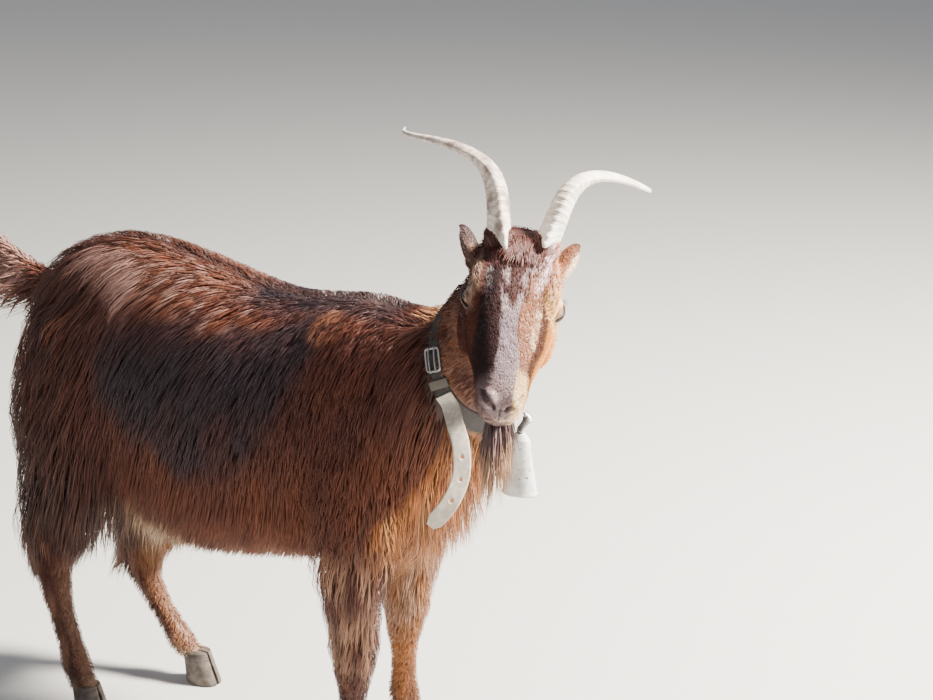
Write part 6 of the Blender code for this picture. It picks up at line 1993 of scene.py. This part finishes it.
def hanger_shape():
    """A wire from the band to the crown of the bell, flattened, and thickest in the middle."""
    top, out, _, _ = collar_point(HANGER_ANGLE, COLLAR_OUTSIDE + 2 * GAP)
    above = BELL_TOP + (0, 0, 0.006)
    bulge = (top + out * 0.006 + above) / 2 + (0.006, 0.004, 0.003)
    ends = np.array([top, top + out * 0.006, bulge, above, BELL_TOP + (0, 0, GAP)])
    path = smooth_rows(ends, np.linspace(0, 4, 60))
    radii = np.interp(np.arange(60), (0, 30, 59), (0.0048, 0.0078, 0.0056))
    return outward(tube(path, radii, 24, flat=0.45))


bell = mesh_object("cast_bell", bell_shape())
clapper = mesh_object("ball_clapper", clapper_shape())
hanger = mesh_object("wire_hanger", hanger_shape())
print("bell points:", len(bell.data.vertices))

# %% [markdown]
# Materials: each is built from noise read at the object's own coordinates or from what the pieces
# carry: coat colour, strand, place along the horn, place across the eye.
# %% Material helpers
class Shade:
    """A small hand for wiring shader nodes."""

    def __init__(self, name, **inputs):
        self.material = bpy.data.materials.new(name)
        self.material.use_nodes = True
        self.nodes = self.material.node_tree.nodes
        self.links = self.material.node_tree.links
        self.base = self.nodes["Principled BSDF"]
        self.set(**inputs)

    def put(self, socket, value):
        """A link or a fixed value; a colour gets its fourth number."""
        if isinstance(value, bpy.types.NodeSocket):
            self.links.new(value, socket)
        else:
            colour = isinstance(value, tuple) and socket.type == "RGBA"
            socket.default_value = (*value, 1.0) if colour else value

    def set(self, **inputs):
        for key, value in inputs.items():
            self.put(self.base.inputs[key.replace("_", " ")], value)
        return self

    def node(self, kind, inputs=(), **settings):
        node = self.nodes.new(kind)
        for key, value in settings.items():
            setattr(node, key, value)
        for key, value in dict(inputs).items():
            self.put(node.inputs[key], value)
        return node

    def carried(self, name, output):
        return self.node("ShaderNodeAttribute", attribute_name=name).outputs[output]

    def place(self):
        return self.node("ShaderNodeTexCoord").outputs["Object"]

    def noise(self, vector, scale, detail=4.0):
        inputs = {"Vector": vector, "Scale": scale, "Detail": detail}
        return self.node("ShaderNodeTexNoise", inputs).outputs["Fac"]

    def stretched(self, vector, *factors):
        inputs = {0: vector, 1: factors}
        return self.node("ShaderNodeVectorMath", inputs, operation="MULTIPLY").outputs[0]

    def math(self, operation, a, b=0.0):
        return self.node("ShaderNodeMath", {0: a, 1: b}, operation=operation).outputs[0]

    def between(self, value, low, high, start=0.0, end=1.0):
        """A smooth step from start to end as the value goes from low to high."""
        inputs = {"Value": value, "From Min": low, "From Max": high, "To Min": start, "To Max": end}
        node = self.node("ShaderNodeMapRange", inputs, interpolation_type="SMOOTHSTEP")
        return node.outputs["Result"]

    def mix(self, share, a, b, kind="MIX"):
        return self.node("ShaderNodeMix", {0: share, 6: a, 7: b}, data_type="RGBA",
                         blend_type=kind).outputs[2]

    def toned(self, colour, tone):
        """The colour made lighter or darker by a factor."""
        grey = self.node("ShaderNodeCombineColor", {0: tone, 1: tone, 2: tone}).outputs[0]
        return self.mix(1.0, colour, grey, "MULTIPLY")

    def bump(self, height, strength, distance):
        inputs = {"Height": height, "Strength": strength, "Distance": distance}
        return self.set(Normal=self.node("ShaderNodeBump", inputs).outputs["Normal"])


print("helpers ready")

# %% [markdown]
# Hair: the carried colour, broken across each tuft into fine strands of lighter and darker tone.
# The long coat is glossier than the short hair of head and ears. The skin has its own fine grain.
# %% Coat materials
def coat_material(name, roughness, strength, shine):
    shade = Shade(name)
    strand = shade.stretched(shade.carried("strand", "Vector"), 3.2, 1.2, 90.0)
    lines = shade.noise(strand, 1.0, 3.0)
    tone = shade.between(lines, 0.25, 0.75, 0.84, 1.18)
    colour = shade.toned(shade.carried("coat_colour", "Color"), tone)
    shade.set(Base_Color=colour, Roughness=roughness, Specular_IOR_Level=shine)
    return shade.bump(lines, strength, 0.0004).material


def skin_material():
    """Short fur seen close: fine pale and dark noise over the carried colour."""
    shade = Shade("short_fur", Roughness=0.6)
    place = shade.place()
    fine, broad = shade.noise(place, 900.0, 2.0), shade.noise(place, 180.0, 3.0)
    tone = shade.between(fine, 0.3, 0.7, 0.75, 1.25)
    shade.set(Base_Color=shade.toned(shade.carried("coat_colour", "Color"), tone))
    height = shade.math("ADD", fine, shade.math("MULTIPLY", broad, 0.6))
    return shade.bump(height, 0.35, 0.0006).material


coat_gloss = coat_material("glossy_hair", 0.42, 0.5, 0.30)
coat_soft = coat_material("soft_hair", 0.6, 0.4, 0.12)
fur_skin = skin_material()
print("coat materials ready")

# %% [markdown]
# Horn is dull and grained, blotched pale and dark, and evener in tone at the tip; the left one
# stands in the sun, and its paler colours are painted sunlight. Hooves are the same stuff, darker.
# %% Horn and hoof materials
def horn_material(name, pale, dark, tip):
    shade = Shade(name)
    place, along = shade.place(), shade.carried("along", "Fac")
    grain, blot = shade.noise(place, 240.0, 5.0), shade.noise(place, 45.0, 3.0)
    colour = shade.mix(shade.between(blot, 0.35, 0.65), dark, pale)
    colour = shade.mix(shade.between(grain, 0.45, 0.75, 0.0, 0.45), colour, dark)
    colour = shade.mix(shade.between(along, 0.70, 0.97, 0.0, 0.8), colour, tip)
    shade.set(Base_Color=colour, Roughness=shade.between(grain, 0.3, 0.7, 0.38, 0.62))
    height = shade.math("ADD", grain, shade.math("MULTIPLY", blot, 0.5))
    return shade.bump(height, 0.4, 0.0008).material


def hoof_material():
    shade = Shade("hoof_horn", Roughness=0.55)
    place = shade.place()
    rings = shade.noise(shade.stretched(place, 20.0, 20.0, 700.0), 1.0, 3.0)
    spots = shade.between(shade.noise(place, 90.0, 3.0), 0.3, 0.7)
    colour = shade.mix(spots, (0.060, 0.045, 0.038), (0.15, 0.12, 0.095))
    colour = shade.mix(shade.between(rings, 0.4, 0.7, 0.0, 0.5), colour, (0.035, 0.027, 0.023))
    return shade.set(Base_Color=colour).bump(rings, 0.4, 0.0006).material


horn_materials = {
    "right": horn_material("horn_grey_tan", (0.84, 0.72, 0.61), (0.30, 0.22, 0.18),
                           (0.66, 0.58, 0.50)),
    # The left horn's paler colours are painted sunlight.
    "left": horn_material("horn_sunlit_cream", (0.92, 0.88, 0.80), (0.66, 0.58, 0.48),
                          (0.72, 0.66, 0.58))}
hoof_dark = hoof_material()
print("horn and hoof ready")

# %% [markdown]
# The iris is amber with darker fibres and a dark rim; the pupil is a level slot with soft ends. The
# whole is wet and clear.
# %% Eye material
IRIS_EDGE = (0.66, 0.76)
PUPIL_HALF_LENGTH, PUPIL_HALF_HEIGHT = 0.44, 0.185


def eye_material():
    shade = Shade("wet_eye", Roughness=0.06, Coat_Weight=1.0, Coat_Roughness=0.02)
    flat = shade.carried("across_eye", "Vector")
    x, y, _ = shade.node("ShaderNodeSeparateXYZ", {0: flat}).outputs
    squares = [shade.math("MULTIPLY", part, part) for part in (x, y)]
    radius = shade.math("SQRT", shade.math("ADD", *squares))
    turn = shade.math("MULTIPLY", shade.math("ARCTAN2", y, x), 7.0)
    spokes = shade.node("ShaderNodeCombineXYZ", {0: turn, 1: shade.math("MULTIPLY", radius, 2.5)})
    fibres = shade.between(shade.noise(spokes.outputs[0], 1.6, 4.0), 0.3, 0.7)
    iris = shade.mix(fibres, (0.20, 0.105, 0.035), (0.50, 0.31, 0.12))
    iris = shade.mix(shade.between(radius, 0.30, 0.62), iris, (0.10, 0.055, 0.028))
    ball_colour = shade.mix(shade.between(radius, *IRIS_EDGE), iris, (0.035, 0.025, 0.022))
    parts = [shade.math("POWER", shade.math("DIVIDE", shade.math("ABSOLUTE", part), half), power)
             for part, half, power in ((x, PUPIL_HALF_LENGTH, 3.5), (y, PUPIL_HALF_HEIGHT, 2.6))]
    pupil = shade.between(shade.math("ADD", *parts), 0.85, 1.12)
    return shade.set(Base_Color=shade.mix(pupil, (0.004, 0.004, 0.006), ball_colour)).material


eye_wet = eye_material()
print("eye ready")

# %% [markdown]
# Worn things: scuffed dark leather, a stiff cream strap, dull wire, chipped white paint on the bell
# and a dark iron clapper.
# %% Materials of collar and bell
def leather(name, light, dark, roughness):
    shade = Shade(name)
    place = shade.place()
    grain, scuff = shade.noise(place, 1100.0, 3.0), shade.noise(place, 130.0, 5.0)
    shade.set(Base_Color=shade.mix(shade.between(scuff, 0.42, 0.72), dark, light),
              Roughness=shade.between(scuff, 0.3, 0.7, roughness, roughness + 0.2))
    return shade.bump(grain, 0.3, 0.0003).material


def metal(name, colour, roughness, metallic):
    shade = Shade(name, Base_Color=colour, Metallic=metallic)
    scratch = shade.noise(shade.stretched(shade.place(), 200.0, 200.0, 1400.0), 1.0, 3.0)
    rough = shade.between(scratch, 0.3, 0.7, roughness, roughness + 0.18)
    return shade.set(Roughness=rough).material


def painted_metal():
    shade = Shade("chipped_white_paint")
    place = shade.place()
    chips = shade.between(shade.noise(place, 210.0, 6.0), 0.645, 0.665)
    grime = shade.noise(place, 60.0, 4.0)
    white = shade.mix(shade.between(grime, 0.4, 0.75), (0.80, 0.79, 0.76), (0.52, 0.50, 0.46))
    shade.set(Base_Color=shade.mix(chips, white, (0.16, 0.13, 0.11)),
              Roughness=shade.between(grime, 0.3, 0.7, 0.35, 0.6))
    return shade.bump(shade.math("SUBTRACT", 1.0, chips), 0.5, 0.0004).material


collar_leather = leather("dark_leather", (0.040, 0.034, 0.030), (0.014, 0.012, 0.011), 0.55)
strap_leather = leather("cream_strap", (0.70, 0.64, 0.53), (0.52, 0.46, 0.37), 0.5)
thread = leather("waxed_thread", (0.16, 0.14, 0.12), (0.10, 0.09, 0.08), 0.6)
wire = metal("dull_wire", (0.34, 0.33, 0.32), 0.42, 1.0)
keeper_metal = metal("dark_keeper", (0.13, 0.115, 0.10), 0.5, 0.9)
iron = metal("dark_iron", (0.11, 0.10, 0.10), 0.5, 0.8)
bell_paint = painted_metal()
print("collar and bell ready")

# %% [markdown]
# Now each piece gets its material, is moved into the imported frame, rides on the one body of this
# still model and takes the place of the plain solid that stood for it.
# %% Dress the frame
FLESH = ["torso", "neck", "head", "tail", "ear_left", "ear_right", *LEGS]
SHORT_COATS = ("coat_head_left", "coat_head_right", "coat_ears", "eyelashes")


def settle(obj, material, slot, *nodes):
    obj.data.materials.append(material)
    move_points(obj, points_of(obj) + SHIFT)
    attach(obj, "root")
    if nodes:
        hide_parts(*nodes)


settle(skin, fur_skin, "coat", *FLESH)
for piece in coats:
    settle(piece, coat_soft if piece.name in SHORT_COATS else coat_gloss, "coat")
for side_name in SIDES:
    settle(horns[side_name], horn_materials[side_name], "horn", "horn_" + side_name)
    settle(eyes[side_name], eye_wet, "eye", "eye_" + side_name)
for hoof_name, hoof in hooves.items():
    settle(hoof, hoof_dark, "hoof", hoof_name)
settle(collar, collar_leather, "collar", "collar")
settle(stitches, thread, "collar")
settle(buckle, wire, "buckle", "buckle_frame")
settle(keeper, keeper_metal, "buckle", "buckle_keeper")
settle(strap, strap_leather, "strap", "strap_end")
settle(bell, bell_paint, "bell", "bell")
settle(clapper, iron, "clapper", "bell_clapper")
settle(hanger, wire, "buckle", "bell_hanger")
shown = [obj for obj in bpy.data.objects if obj.type == "MESH" and obj.visible_get()]
print("triangles shown:", sum(len(triangles_of(obj)) for obj in shown))

# %% [markdown]
# The goat stands on a wide pale floor before a plain light sky. The sun stands behind it, high on
# the picture's right, so the flank turned to the camera is in soft shade and the head, horns and
# tail catch the light; a broad weak light beside the camera opens the shade.
# %% Floor, light and camera
FLOOR_HALF = 30.0
LOOK = (-0.5094, 0.8152, -0.2756)
CAMERA_PLACE = np.array([1.754, -2.208, 1.415]) + SHIFT
LENS, SENSOR_WIDTH = 77.17, 36

floor_corners = FLOOR_HALF * np.array([(-1, -1, 0), (1, -1, 0), (1, 1, 0), (-1, 1, 0)])
floor = mesh_object("floor", (floor_corners, np.array([[0, 1, 2, 3]]), NO_TRIANGLES))
pale_floor = Shade("pale_floor", Base_Color=(0.62, 0.61, 0.58), Roughness=0.9)
floor.data.materials.append(pale_floor.material)


def aimed(name, data, place, way):
    """A camera or light at a place, looking along a way."""
    obj = linked(name, data)
    obj.location = place
    obj.rotation_euler = Vector(way).to_track_quat("-Z", "Y").to_euler()
    return obj


def add_camera():
    data = bpy.data.cameras.new("camera")
    data.lens = LENS
    data.sensor_width = SENSOR_WIDTH
    bpy.context.scene.camera = aimed("camera", data, CAMERA_PLACE, LOOK)


def add_area(name, place, target, size, power, colour):
    data = bpy.data.lights.new(name, "AREA")
    data.size = size
    data.energy = power
    data.color = colour
    aimed(name, data, place, Vector(target) - Vector(place))


def pale_world(colour, strength):
    world = bpy.data.worlds.new("pale_sky")
    world.use_nodes = True
    background = world.node_tree.nodes["Background"]
    background.inputs["Color"].default_value = (*colour, 1.0)
    background.inputs["Strength"].default_value = strength
    bpy.context.scene.world = world


add_camera()
add_area("sun", (2.6, 1.6, 3.2), (0.15, 0.0, 0.5), 0.9, 1400.0, (1.0, 0.93, 0.84))
add_area("fill", (0.6, -4.2, 2.2), (0.0, 0.0, 0.45), 3.0, 35.0, (0.92, 0.96, 1.0))
pale_world((0.86, 0.90, 1.0), 0.42)
print("camera at", CAMERA_PLACE.round(3))

# %% [markdown]
# Last, the view layer is brought up to date.
# %% Finish
bpy.context.view_layer.update()
